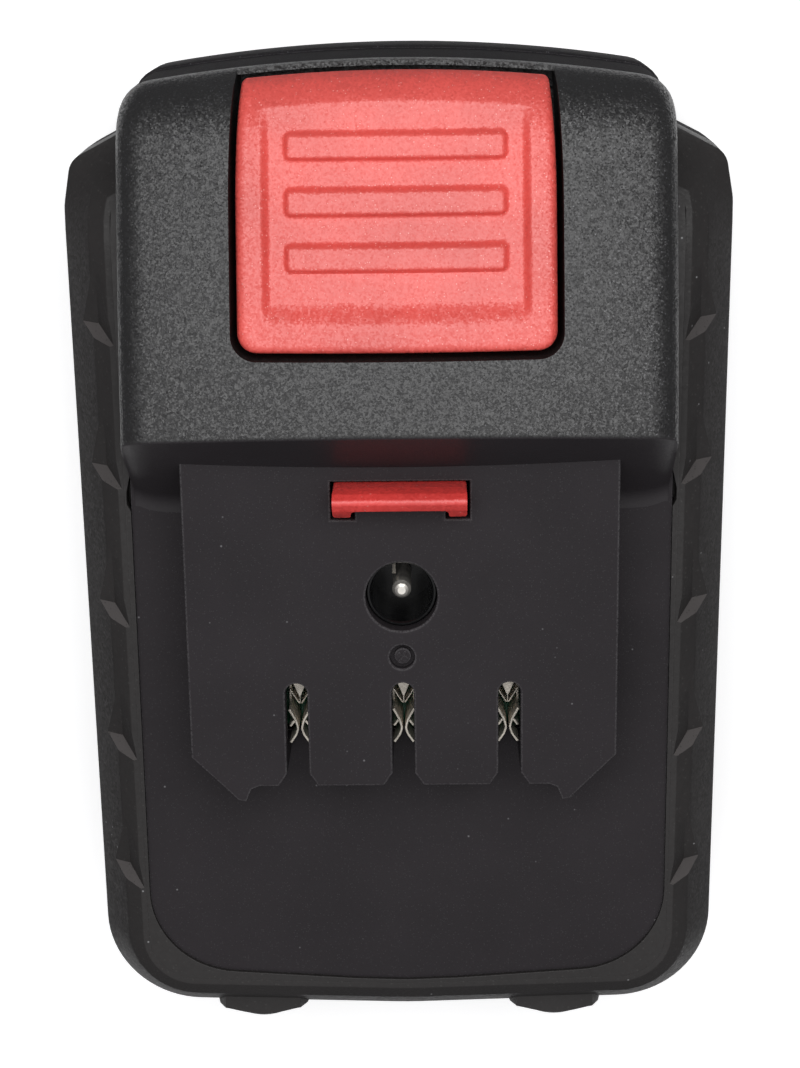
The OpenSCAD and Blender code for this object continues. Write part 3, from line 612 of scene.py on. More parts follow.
def metal(name, colour, rough, scratch=900.0, metallic=1.0):
    """Plated sheet or wire: rolled streaks, tarnish in patches."""
    mat, tree, shader = new_material(name)
    place = node(tree, "ShaderNodeTexCoord").outputs["Object"]
    stretch = node(tree, "ShaderNodeMapping")
    stretch.inputs["Scale"].default_value = (1.0, 1.0, 0.12)
    tree.links.new(place, stretch.inputs["Vector"])
    streak = node(tree, "ShaderNodeTexNoise")
    streak.inputs["Scale"].default_value = scratch * 4
    tree.links.new(stretch.outputs["Vector"], streak.inputs["Vector"])
    patch = node(tree, "ShaderNodeTexNoise")
    patch.inputs["Scale"].default_value = scratch
    tree.links.new(place, patch.inputs["Vector"])
    dull = tuple(c * 0.72 for c in colour[:3]) + (1.0,)
    base = mix_colour(tree, ramp(tree, patch.outputs["Fac"], 0.42, 0.68), colour, dull)
    tree.links.new(base, shader.inputs["Base Color"])
    made = node(tree, "ShaderNodeMapRange")
    made.inputs["To Min"].default_value = max(rough - 0.08, 0.05)
    made.inputs["To Max"].default_value = rough + 0.12
    tree.links.new(streak.outputs["Fac"], made.inputs["Value"])
    tree.links.new(made.outputs["Result"], shader.inputs["Roughness"])
    lift = node(tree, "ShaderNodeBump")
    lift.inputs["Strength"].default_value = 0.15
    lift.inputs["Distance"].default_value = 0.00003
    tree.links.new(streak.outputs["Fac"], lift.inputs["Height"])
    tree.links.new(lift.outputs["Normal"], shader.inputs["Normal"])
    shader.inputs["Metallic"].default_value = metallic
    return mat


def dress(nodes, material):
    """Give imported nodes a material."""
    for name in nodes:
        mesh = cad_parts[name].data
        mesh.materials.clear()
        mesh.materials.append(material)


# Settings

def colour_setting(name, text, default):
    return bpy.props.FloatVectorProperty(
        name=name, description=text, default=default, size=4, min=0.0, max=1.0, subtype="COLOR"
    )


def length_setting(name, text, default):
    return bpy.props.FloatProperty(
        name=name, description=text, default=default * MM, min=0.0, unit="LENGTH", precision=5
    )


class PackSizes(bpy.types.PropertyGroup):
    """Sizes of the finish that don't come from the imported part."""

    crest_radius: length_setting("Crest radius", "Rounding along the crest of the head", 0.4)
    foot_radius: length_setting("Foot radius", "Fillet between the head's slope and the deck", 3.2)
    rail_bevel: length_setting("Rail edge", "Rounding of the rail plate's edges", 0.28)
    deck_bevel: length_setting("Deck edge", "Rounding of the deck's edges", 0.1)
    button_edge: length_setting("Button edge", "Rounding round the button's top", 1.0)
    hollow_depth: length_setting("Thumb hollow", "Depth of the hollow at its lower end", 1.05)
    rib_height: length_setting("Rib height", "Height of the button's ribs over the hollow", 0.75)


class PackColours(bpy.types.PropertyGroup):
    """Colours of the materials."""

    head: colour_setting("Head", "Upper shell round the button", (0.012, 0.0115, 0.0118, 1.0))
    # Speck colour: bright points in the grain, partly painted glints.
    speck_and_glint: colour_setting("Speck And Glint", "Bright points in the mould grain", (0.11, 0.11, 0.12, 1.0))
    deck: colour_setting("Deck", "Flat deck and rail plate", (0.025, 0.0215, 0.0242, 1.0))
    grip: colour_setting("Grip", "Soft band on the shoulders", (0.027, 0.0247, 0.0243, 1.0))
    tub: colour_setting("Tub", "Lower shell", (0.016, 0.0145, 0.0165, 1.0))
    button: colour_setting("Button", "Thumb button", (0.86, 0.1, 0.082, 1.0))
    tooth: colour_setting("Tooth", "Latch tooth", (0.8, 0.05, 0.043, 1.0))
    tin: colour_setting("Tin", "Plated contacts", (0.93, 0.86, 0.75, 1.0))


# The head

def face_distance(p):
    """Distance above the crowned face of the head and its trailing wall."""
    x, y, z = p[..., 0], p[..., 1], p[..., 2]
    bow = np.sqrt(CROWN_R ** 2 - np.minimum(np.abs(x), 40) ** 2) - CROWN_R
    face = np.hypot(y - FACE_CY, z - FACE_CZ) - FACE_R - bow
    end = np.hypot(y - END_CY, z - END_CZ) - END_R - bow
    wall = y - TRAIL_Y - bow
    past = (y - END_CY) * cos(JOIN_A) > (z - END_CZ) * sin(JOIN_A)
    return np.where(past & (y > END_CY), np.where(z > END_CZ, end, wall), face)


def ray_hits(distance, origin, direction, level=0.0, far=60.0):
    """Farthest point along each ray that is still inside the level of a distance field."""
    low = np.zeros(len(origin))
    high = np.full(len(origin), far)
    for _ in range(40):
        mid = (low + high) / 2
        inside = distance(origin + mid[:, None] * direction) < level
        low = np.where(inside, mid, low)
        high = np.where(inside, high, mid)
    return origin + low[:, None] * direction


def head_column(rise, edge, foot):
    """One line over the head at a rise below the crown: foot, slope, crest, face, end and trailing wall."""
    crest = np.array((CREST_Y + min(CREST_BACK * -rise, 1.5), CREST_Z))
    down = unit(np.array((LIP_Y - CREST_Y, RAIL_TOP - CREST_Z)))
    square = np.array((down[1], -down[0]))
    radius = FACE_R + rise

    def on_face(a):
        return np.array((FACE_CY + radius * sin(a), FACE_CZ + radius * cos(a)))

    low, high = 0.0, JOIN_A
    for _ in range(40):
        mid = (low + high) / 2
        if square @ (on_face(mid) - crest) > 0:
            low = mid
        else:
            high = mid
    start = on_face(low)
    along = np.array((cos(low), -sin(low)))
    corner = start + down * (start[1] - DECK_TOP - 0.02) / -down[1]
    ahead = foot * tan(acos(-down[0]) / 2)
    toe = corner - (ahead, 0)
    heel = corner - down * ahead
    pts = [np.array((toe[0], HEAD_FOOT))] + bezier(toe, corner, heel, FOOT_ROWS)
    pts += line(heel, start + down * edge, 4)
    pts += bezier(start + down * edge, start, start + along * edge, CREST_ROWS)
    first = low + edge / radius
    pts += [on_face(first + (JOIN_A - first) * k / 44) for k in range(1, 45)]
    for k in range(1, 33):
        a = JOIN_A + (pi / 2 - JOIN_A) * k / 32
        r = END_R + rise - LEDGE * max(0.0, (degrees(a) - 50) / 40)
        pts.append(np.array((END_CY + r * sin(a), END_CZ + r * cos(a))))
    wall = TRAIL_Y + rise - LEDGE
    pts += [np.array((wall, END_CZ + (SEAM_Z + 0.45 - END_CZ) * k / 8)) for k in range(1, 9)]
    return pts + [np.array((wall + 0.14, SEAM_Z + 0.3)), np.array((wall + 0.14, SEAM_Z + 0.08))]


def narrowing(y):
    """How much each side of the button draws in towards the trailing end."""
    return NARROW * np.clip((y - NARROW_Y) / (BUTTON_Y1 - NARROW_Y), 0, 1) ** 2


def pocket_outline():
    """Plan of the button's room: round leading corners, narrower and bowed at the trailing end."""
    half = BUTTON_HALF + BUTTON_GAP
    y0 = BUTTON_Y0 - BUTTON_GAP
    y1 = TRAIL_Y - 1.0
    r = 2.7
    side = []
    for k in range(13):
        a = radians(270 + 7.5 * k)
        side.append((half - r + r * cos(a), y0 + r + r * sin(a)))
    x1 = half - NARROW
    top = y1 - x1 ** 2 / (2 * CROWN_R)
    for k in range(1, 12):
        y = NARROW_Y + (top - NARROW_Y) * k / 12
        side.append((half - float(narrowing(y)), y))
    edge = []
    for k in range(13):
        x = x1 - 2 * x1 * k / 12
        edge.append((x, y1 - x * x / (2 * CROWN_R)))
    return side + edge + mirrored(side)


def pocket_cutter(material):
    """Room for the button and the latch's arm, and a low sill behind the button."""
    x = BUTTON_HALF + BUTTON_GAP - NARROW
    arm = TOOTH_HALF + TOOTH_GAP
    shape = Shape()
    shape.prism(pocket_outline(), 20.0, 60.0)
    shape.prism(rectangle(-arm, 9.6, arm, BUTTON_Y0 + 0.05), 20.3, 31.2)
    shape.prism(rectangle(-x, TRAIL_Y - 4, x, TRAIL_Y + 1), SILL_Z, 59.0)
    return shape.build("pocket", material)


def make_head(sizes, materials):
    """Raised head with room for the button; its face, slope and trailing end have a material each."""
    shape = Shape()
    columns = []
    for x, rise in head_curve(0.0):
        line_pts = head_column(rise, sizes.crest_radius / MM, sizes.foot_radius / MM)
        columns.append(shape.add([(x, p[0], p[1]) for p in line_pts]))
    # The crest rows and the lip at the seam are paler: partly wear, partly a painted highlight.
    for column in columns:
        for i in range(SLOPE_ROWS + 1, SLOPE_ROWS + CREST_ROWS):
            shape.wear_and_highlight[column[i]] = 0.5
        shape.wear_and_highlight[column[-2]] = 1.0
    for a, b in zip(columns, columns[1:]):
        for i in range(len(a) - 1):
            slot = 1 if i < SLOPE_ROWS + CREST_ROWS // 2 else 2 if i > len(a) - WALL_ROWS else 0
            shape.face((a[i], b[i], b[i + 1], a[i + 1]), slot)
    right, left = [
        shape.add([(s * HEAD_HALF, HEAD_BACK, SEAM_Z + 0.06), (s * HEAD_HALF, HEAD_BACK, HEAD_FOOT)])
        for s in (1, -1)
    ]
    shape.face(columns[0] + right)
    shape.face(columns[-1] + left)
    shape.cap([[c[0] for c in columns] + [left[1], right[1]]])
    shape.face((right[0], right[1], left[1], left[0]))
    shape.cap([[c[-1] for c in columns] + [left[0], right[0]]])
    piece = shape.build("head_shell", materials, 32.0)
    return cut(piece, pocket_cutter(materials), materials, 32.0)


class PACK_OT_head(bpy.types.Operator):
    """Make the raised head with its button pocket"""

    bl_idname = "pack.head"
    bl_label = "Head"

    def execute(self, context):
        sizes = context.scene.pack_sizes
        colours = context.scene.pack_colours
        head = tuple(colours.head)
        speck_and_glint = tuple(colours.speck_and_glint)
        deck = tuple(colours.deck)
        tub = tuple(colours.tub)
        mats = (
            moulded("HeadPlastic", head, speck_and_glint, 5200.0, 0.1, 0.42, 0.6, dust=0.15, specular=0.75, facet=0.42),
            moulded("SlopePlastic", deck, deck, 5200.0, 0.1, 0.45, 0.1, dust=0.1),
            moulded("EndPlastic", tub, speck_and_glint, 4600.0, 0.03, 0.75, 0.4, wear_and_highlight=0.8, dust=0.2, specular=0.04),
        )
        piece = make_head(sizes, mats)
        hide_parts("upper_housing")
        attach(piece, "pack")
        return {"FINISHED"}


# Deck and rails

def rail_outline():
    """Rail plate with three open slots, counter-clockwise."""
    half = [
        (24.1, LIP_Y + 2.5), (24.1, SLOT_Y0 + 3.6), (18.9, SLOT_Y0 - 1.7), (18.0, SLOT_Y0 - 1.9),
        (17.4, SLOT_Y0 - 0.4), (16.5, SLOT_Y0),
    ]
    pts = list(half)
    r = SLOT_R
    for x in (SLOT_PITCH, 0.0, -SLOT_PITCH):
        pts += [(x + r + 1, SLOT_Y0), (x + r, SLOT_Y0 + 1.5)]
        for k in range(13):
            a = pi * k / 12
            pts.append((x + r * cos(a), SLOT_Y1 - r + r * sin(a)))
        pts += [(x - r, SLOT_Y0 + 1.5), (x - r - 1, SLOT_Y0)]
    return list(reversed(pts + mirrored(half)))


def tooth_slot_outline():
    """Opening in the rail plate for the tooth and its two legs."""
    x = TOOTH_HALF + TOOTH_GAP
    leg = TOOTH_HALF - TOOTH_LEG - TOOTH_GAP
    y1 = TOOTH_Y + 0.12
    bar = y1 - 2.45
    foot = y1 - 4.3
    return [(-x, foot), (-leg, foot), (-leg, bar), (leg, bar), (leg, foot), (x, foot), (x, y1), (-x, y1)]


def make_deck(sizes, material):
    """Flat deck with an opening under the rail plate."""
    shape = Shape()
    well = np.array(rectangle(-16.9, -18.4, 16.9, 9.0))
    plan = joined(rounded(DECK, DECK_RADII, 0.0))
    shape.slab(plan, [well], DECK_Z + 0.1, DECK_TOP, sizes.deck_bevel / MM)
    return cut(shape.build("deck_plate", material), pocket_cutter(material), material)


def make_rails(sizes, material):
    """Rail plate on its walls, with a rough gate mark in a dimple."""
    shape = Shape()
    bevel = sizes.rail_bevel / MM
    gate = circle_loop(0, GATE_Y - 0.05, 1.4, 32)
    holes = [circle_loop(0, JACK_Y, 4.0, 64), gate, np.array(tooth_slot_outline())]
    shape.slab(rail_outline(), holes, RAIL_Z, RAIL_TOP, bevel, 4, 0.2)
    shape.slab(offset_loop(gate, 0.25), [], RAIL_TOP - 2.4, RAIL_TOP - 0.9, 0.1, 2, 0.2)
    shape.slab(circle_loop(0.05, GATE_Y, 0.95, 32), [], RAIL_TOP - 1.0, RAIL_TOP - 0.25, 0.2, 3, 0.1)
    for x, y, r in ((-0.35, 0.2, 0.3), (0.25, -0.25, 0.38), (0.3, 0.4, 0.24), (-0.2, -0.45, 0.22)):
        crumb = circle_loop(x, GATE_Y + y, r, 14)
        shape.slab(crumb, [], RAIL_TOP - 0.6, RAIL_TOP - 0.14, 0.12, 2, 0.04)
    walls = [rectangle(-19.0, -20.5, -17.0, LIP_Y), rectangle(17.0, -20.5, 19.0, LIP_Y)]
    for x0, x1 in ((-17.5, -13.25), (-10.75, -1.25), (1.25, 10.75), (13.25, 17.5)):
        walls.append(rectangle(x0, -20.5, x1, -18.5))
    for wall in walls:
        shape.slab(wall, [], DECK_Z + 0.6, RAIL_Z + 0.6, 0.15, 2, 0.1)
    return shape.build("rail_block", material)


class PACK_OT_deck(bpy.types.Operator):
    """Make the deck and the rail block"""

    bl_idname = "pack.deck"
    bl_label = "Deck and rails"

    def execute(self, context):
        sizes = context.scene.pack_sizes
        colours = context.scene.pack_colours
        fleck_and_glint = (0.045, 0.043, 0.045, 1.0)
        # A high edge value pales the rail and deck edges: partly wear, partly a painted highlight.
        mat = moulded(
            "DeckPlastic", tuple(colours.deck), fleck_and_glint, 5200.0, 0.16, 0.66, 0.3, wear_and_highlight=0.9, dust=0.3,
            specular=0.2,
        )
        for piece in (make_deck(sizes, mat), make_rails(sizes, mat)):
            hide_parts("upper_housing")
            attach(piece, "pack")
        return {"FINISHED"}


# Grip

def grip_path(inset):
    """Open path round both flanks and the leading end, at an inset."""
    corners = rounded(FLANK, FLANK_RADII, inset)
    edge = unit(np.array(FLANK[4]) - np.array(FLANK[3]))
    last = corners[3][-1]
    right = last + edge * (HEAD_HALF + 0.15 - last[0]) / edge[0]
    left = np.array((-right[0], right[1]))
    order = [6, 7, 8, 0, 1, 2, 3]
    pts = [left] + line(left, corners[6][0], 6)
    for a, b in zip(order, order[1:] + [None]):
        pts += corners[a]
        if b is not None:
            span = np.linalg.norm(corners[b][0] - corners[a][-1])
            count = 40 if span > 60 else 14 if span > 15 else 3
            pts += line(corners[a][-1], corners[b][0], count)
    pts += line(corners[3][-1], right, 6) + [right]
    return np.array(pts)


def grip_half(y):
    """Half width of the housing at a place along it."""
    return HALF_TRAIL - TAPER * (FLANK_Y - 4.9 - y) / (FLANK_Y - 6 - LEAD_Y)


def make_grip(materials):
    """Soft band with its stops and notches, and the flat ledge inside it."""
    section = fillet_path(
        [
            (0.3, SEAM_Z + 0.06), (0, SEAM_Z + 0.36), (0, DECK_Z - 3.9), (3.3, RIM_Z - 1.4),
            (5.2, RIM_Z), (5.9, RIM_Z), (5.95, RIM_Z - 2.2),
        ],
        [0, 0.1, 1.2, 1.5, 0.3, 0.04, 0], 5,
    )
    section += [(1.4, DECK_Z - 3.4), (1.4, SEAM_Z + 0.06)]
    band = Shape()
    rings = [band.add([(p[0], p[1], z) for p in grip_path(d)]) for d, z in section]
    for low, high in zip(rings, rings[1:] + rings[:1]):
        band.wall(low, high, closed=False)
    for end in (0, -1):
        band.face(ring[end] for ring in rings)
    for s in (-1, 1):
        bump(band, s * BUMP_X)
    fall_away(band)
    piece = band.build("grip_band", materials, 26.0)
    piece = cut(piece, notch_cutter(materials), materials, 26.0)
    rim = Shape()
    rim.slab(ledge_outline(), [], DECK_Z + 0.4, RIM_Z, 0.06, 3, 0.06)
    fall_away(rim)
    for s in (-1, 1):
        x = s * (DECK_HALF + 0.4)
        rim.slab(rectangle(x - 1.1, 7.4, x + 1.1, 13.2), [], DECK_Z - 0.5, DECK_Z, 0.05, 2, 0.05)
    return piece, rim.build("grip_ledge", materials[0], 34.0)


def notch_cutter(materials):
    """Three-sided points for the shoulders; the side towards the leading end is paler: painted light on that
    facet, with dust.
    """
    notches = Shape()
    for s in (-1, 1):
        for k in range(NOTCHES):
            y = FLANK_Y - NOTCH_FIRST - k * NOTCH_PITCH
            deep = np.array((grip_half(y) - NOTCH_INSET, y, RIM_Z - NOTCH_DEEP))
            pts = [deep] + [deep + 4.0 * np.array(edge) for edge in NOTCH_EDGES]
            a, b, c, d = notches.add([(p[0] * s, p[1], p[2]) for p in pts])
            for corners, slot in (((a, b, c), 1), ((a, c, d), 0), ((a, d, b), 0), ((b, d, c), 0)):
                notches.face(corners, slot)
    return notches.build("notches", materials)


def fall_away(shape):
    """Let the shoulders dip towards the trailing end."""
    pts = np.array(shape.points)
    late = np.maximum(pts[:, 1] - (FLANK_Y - DIP_SPAN), 0)
    pts[:, 2] -= DIP_SLOPE * late * np.clip((pts[:, 2] - 20.0) / 5.0, 0, 1)
    shape.points = [tuple(p) for p in pts.tolist()]


def ledge_outline():
    """U-shaped plan of the grip's flat ledge round the deck, with a small relief beside the head's foot."""
    outer = rounded(FLANK, FLANK_RADII, LEDGE_INSET)
    inner = rounded(DECK, DECK_RADII, -0.01)
    x = DECK_HALF + 0.01
    foot = HEAD_HALF - 0.15
    dip_y = FLANK_Y - DIP_SPAN
    tips = [np.array((outer[2][0][0], dip_y)), np.array((outer[2][0][0] - 0.1, FLANK_Y - 4.0))]
    side = [(x, 8.4), (x + 0.42, 9.2), (x + 0.42, 10.6), (x, 12.4), (foot, 14.5), (foot, dip_y)]
    side = fillet_path(side, [0, 0.5, 0.6, 0.8, 1.5, 0], 4) + [np.array((foot, FLANK_Y - 3.1))]
    outside = [p * (-1, 1) for p in reversed(tips)] + outer[-1] + outer[0] + outer[1] + tips
    inside = [p * (-1, 1) for p in reversed(side)] + inner[4] + inner[0] + inner[1] + side
    return np.array(outside + inside[::-1])


def bump(shape, x):
    """Rounded stop on the leading end."""
    n = 28
    half = 5.8
    rings = []
    rows = (
        (0.2, 0.72, 0.25), (0.9, 0.92, 0.78), (2.2, 1.0, 1.0),
        (7.0, 1.0, 1.0), (8.8, 0.94, 0.82), (10.2, 0.8, 0.4),
    )
    for above, wide, proud in rows:
        z = SEAM_Z + above
        ring = []
        for k in range(n + 1):
            u = -1 + 2 * k / n
            rise = max(cos(pi / 2 * u), 0.0) ** 1.2
            ring.append((x + u * half * wide, LEAD_Y + 0.25 - 2.1 * proud * rise, z))
        ring += [(x + half * wide, LEAD_Y + 2.0, z), (x - half * wide, LEAD_Y + 2.0, z)]
        rings.append(shape.add(ring))
    for low, high in zip(rings, rings[1:]):
        shape.wall(low, high)
    shape.face(rings[0])
    shape.face(reversed(rings[-1]))


class PACK_OT_grip(bpy.types.Operator):
    """Make the soft band with its notches and stops"""

    bl_idname = "pack.grip"
    bl_label = "Side grip"

    def execute(self, context):
        colours = context.scene.pack_colours
        plain = tuple(colours.grip)
        # Paler copy of the rubber for one notch facet: painted light, with dust.
        pale_painted_light = tuple(c * 3.2 for c in plain[:3]) + (1.0,)
        fleck_and_glint = (0.045, 0.043, 0.041, 1.0)
        mats = (
            moulded(
                "GripRubber", plain, fleck_and_glint, 3000.0, 0.12, 0.52, 0.4, wear_and_highlight=0.5, dust=0.6, specular=0.33,
                facet=0.12,
            ),
            moulded("GripNotchDustAndPaintedLight", pale_painted_light, fleck_and_glint, 3000.0, 0.2, 0.7, 0.6, wear_and_highlight=0.0, dust=0.8, specular=0.2),
        )
        for piece in make_grip(mats):
            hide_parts("side_grip")
            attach(piece, "pack")
        return {"FINISHED"}


# Tub and screws

def make_tub(material):
    """Lower shell with a rounded base and a well for each screw; its profile is height, inset, and edge wear
    that is partly a painted highlight.
    """
    angles = np.linspace(0, 2 * pi, 480, endpoint=False) + 0.003
    profile = [
        (0.0, 3.2, 0), (0.0, 2.7, 0.4), (0.2, 2.05, 0.6), (0.8, 1.3, 0.3), (1.4, 0.9, 0), (2.2, 0.55, 0),
        (3.4, 0.3, 0), (5.0, 0.15, 0), (SEAM_Z - 0.4, 0.0, 0), (SEAM_Z - 0.12, 0.08, 0.5),
        (SEAM_Z - 0.04, 0.35, 0), (SEAM_Z - 0.04, 0.8, 0),
    ]
    shape = Shape()
    rings = []
    for z, inset, wear_and_highlight in profile:
        rings.append(shape.add([(p[0], p[1], z) for p in plan_loop(inset, angles)], wear_and_highlight))
    for low, high in zip(rings, rings[1:]):
        shape.wall(low, high)
    shape.cap([rings[0]])
    shape.cap([rings[-1]])
    piece = shape.build("tub_shell", material, 30.0)
    wells = Shape()
    for x, y in POSTS:
        wells.slab(circle_loop(x, y, 2.65, 40), [], -1.0, 1.6, 0.0, 1, 0.2)
    return cut(piece, wells.build("wells", material), material, 30.0)


def screw_tree(material):
    """Geometry nodes: one six-lobe screw on each point."""
    tree = bpy.data.node_groups.new("ScrewsOnPosts", "GeometryNodeTree")
    tree.interface.new_socket("Geometry", in_out="INPUT", socket_type="NodeSocketGeometry")
    for label in ("Head Radius", "Head Height", "Shank Radius", "Shank Length"):
        tree.interface.new_socket(label, in_out="INPUT", socket_type="NodeSocketFloat")
    tree.interface.new_socket("Geometry", in_out="OUTPUT", socket_type="NodeSocketGeometry")
    give = tree.nodes.new("NodeGroupInput")
    take = tree.nodes.new("NodeGroupOutput")
    links = tree.links

    def lifted(geometry, height):
        up = tree.nodes.new("ShaderNodeCombineXYZ")
        if isinstance(height, float):
            up.inputs["Z"].default_value = height
        else:
            links.new(height, up.inputs["Z"])
        move = tree.nodes.new("GeometryNodeTransform")
        links.new(geometry, move.inputs["Geometry"])
        links.new(up.outputs["Vector"], move.inputs["Translation"])
        return move.outputs["Geometry"]

    def half_of(value):
        made = tree.nodes.new("ShaderNodeMath")
        made.operation = "MULTIPLY"
        made.inputs[1].default_value = 0.5
        links.new(value, made.inputs[0])
        return made.outputs[0]

    head = tree.nodes.new("GeometryNodeMeshCone")
    head.inputs["Vertices"].default_value = 40
    links.new(give.outputs["Head Radius"], head.inputs["Radius Top"])
    slim = tree.nodes.new("ShaderNodeMath")
    slim.operation = "MULTIPLY"
    slim.inputs[1].default_value = 0.88
    links.new(give.outputs["Head Radius"], slim.inputs[0])
    links.new(slim.outputs[0], head.inputs["Radius Bottom"])
    links.new(give.outputs["Head Height"], head.inputs["Depth"])
    recess = tree.nodes.new("GeometryNodeMeshBoolean")
    recess.operation = "DIFFERENCE"
    links.new(head.outputs["Mesh"], recess.inputs["Mesh 1"])
    for turn in range(3):
        bar = tree.nodes.new("GeometryNodeMeshCube")
        bar.inputs["Size"].default_value = (2.5 * MM, 1.0 * MM + turn * 1e-6, 1.6 * MM)
        spin = tree.nodes.new("GeometryNodeTransform")
        spin.inputs["Rotation"].default_value = (0.0, 0.0, radians(60 * turn + 7))
        links.new(bar.outputs["Mesh"], spin.inputs["Geometry"])
        links.new(spin.outputs["Geometry"], recess.inputs["Mesh 2"])
    shank = tree.nodes.new("GeometryNodeMeshCylinder")
    shank.inputs["Vertices"].default_value = 24
    links.new(give.outputs["Shank Radius"], shank.inputs["Radius"])
    links.new(give.outputs["Shank Length"], shank.inputs["Depth"])
    both = tree.nodes.new("GeometryNodeJoinGeometry")
    links.new(recess.outputs["Mesh"], both.inputs["Geometry"])
    base = lifted(shank.outputs["Mesh"], half_of(give.outputs["Shank Length"]))
    links.new(lifted(base, half_of(give.outputs["Head Height"])), both.inputs["Geometry"])
    points = tree.nodes.new("GeometryNodeMeshToPoints")
    links.new(give.outputs["Geometry"], points.inputs["Mesh"])
    place = tree.nodes.new("GeometryNodeInstanceOnPoints")
    links.new(points.outputs["Points"], place.inputs["Points"])
    links.new(both.outputs["Geometry"], place.inputs["Instance"])
    real = tree.nodes.new("GeometryNodeRealizeInstances")
    links.new(place.outputs["Instances"], real.inputs["Geometry"])
    coat = tree.nodes.new("GeometryNodeSetMaterial")
    coat.inputs["Material"].default_value = material
    links.new(real.outputs["Geometry"], coat.inputs["Geometry"])
    links.new(coat.outputs["Geometry"], take.inputs["Geometry"])
    return tree


def from_nodes(name, mesh, tree, values, material, sharp=34.0):
    """Run a geometry node tree over a mesh with named values and keep the result as a plain object."""
    holder = bpy.data.objects.new(name + "_seed", mesh)
    bpy.context.scene.collection.objects.link(holder)
    mod = holder.modifiers.new("nodes", "NODES")
    mod.node_group = tree
    for item in tree.interface.items_tree:
        if item.item_type == "SOCKET" and item.in_out == "INPUT" and item.name in values:
            mod[item.identifier] = values[item.name]
    made = evaluated(holder)
    bpy.data.objects.remove(holder, do_unlink=True)
    return finish_mesh(name, made, material, sharp)


class PACK_OT_tub(bpy.types.Operator):
    """Make the lower shell and its screws"""

    bl_idname = "pack.tub"
    bl_label = "Tub and screws"

    def execute(self, context):
        colours = context.scene.pack_colours
        tub = tuple(colours.tub)
        speck_and_glint = tuple(colours.speck_and_glint)
        mat = moulded("TubPlastic", tub, speck_and_glint, 4600.0, 0.06, 0.75, 0.4, dust=0.3, specular=0.1)
        piece = make_tub(mat)
        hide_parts("lower_housing")
        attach(piece, "pack")
        steel = metal("BlackScrewSteel", (0.2, 0.2, 0.21, 1.0), 0.4)
        seed = bpy.data.meshes.new("posts")
        seed.from_pydata([(x * MM, y * MM, 0.9 * MM) for x, y in POSTS], [], [])
        values = {
            "Head Radius": 2.5 * MM, "Head Height": 1.4 * MM,
            "Shank Radius": 1.45 * MM, "Shank Length": 17.0 * MM,
        }
        screws = from_nodes("screws", seed, screw_tree(steel), values, steel)
        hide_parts("housing_screws")
        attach(screws, "pack")
        return {"FINISHED"}


# Latch

def face_height(x, y, drop):
    """Height of the head's face, lowered square to it."""
    plan = np.stack([x.ravel(), y.ravel(), np.full(x.size, 14.0)], axis=1)
    hit = ray_hits(face_distance, plan, np.tile((0.0, 0.0, 1.0), (len(plan), 1)), -drop)
    return hit[:, 2].reshape(x.shape)


def soft_step(v, a, b):
    t = np.clip((v - a) / (b - a), 0, 1)
    return t * t * (3 - 2 * t)


def box_distance(x, y, cx, cy, hx, hy, r):
    """Plan distance to a rounded rectangle."""
    qx = np.abs(x - cx) - hx + r
    qy = np.abs(y - cy) - hy + r
    return np.hypot(np.maximum(qx, 0), np.maximum(qy, 0)) + np.minimum(np.maximum(qx, qy), 0) - r


def graded(low, high, marks, coarse, fine, reach_mm):
    """Places from low to high that are closer together near the marks."""
    out = [low]
    while out[-1] < high - 1e-6:
        near = min(abs(out[-1] - m) for m in marks)
        step = fine if near < reach_mm else coarse
        out.append(min(out[-1] + step, high))
    return np.array(out)


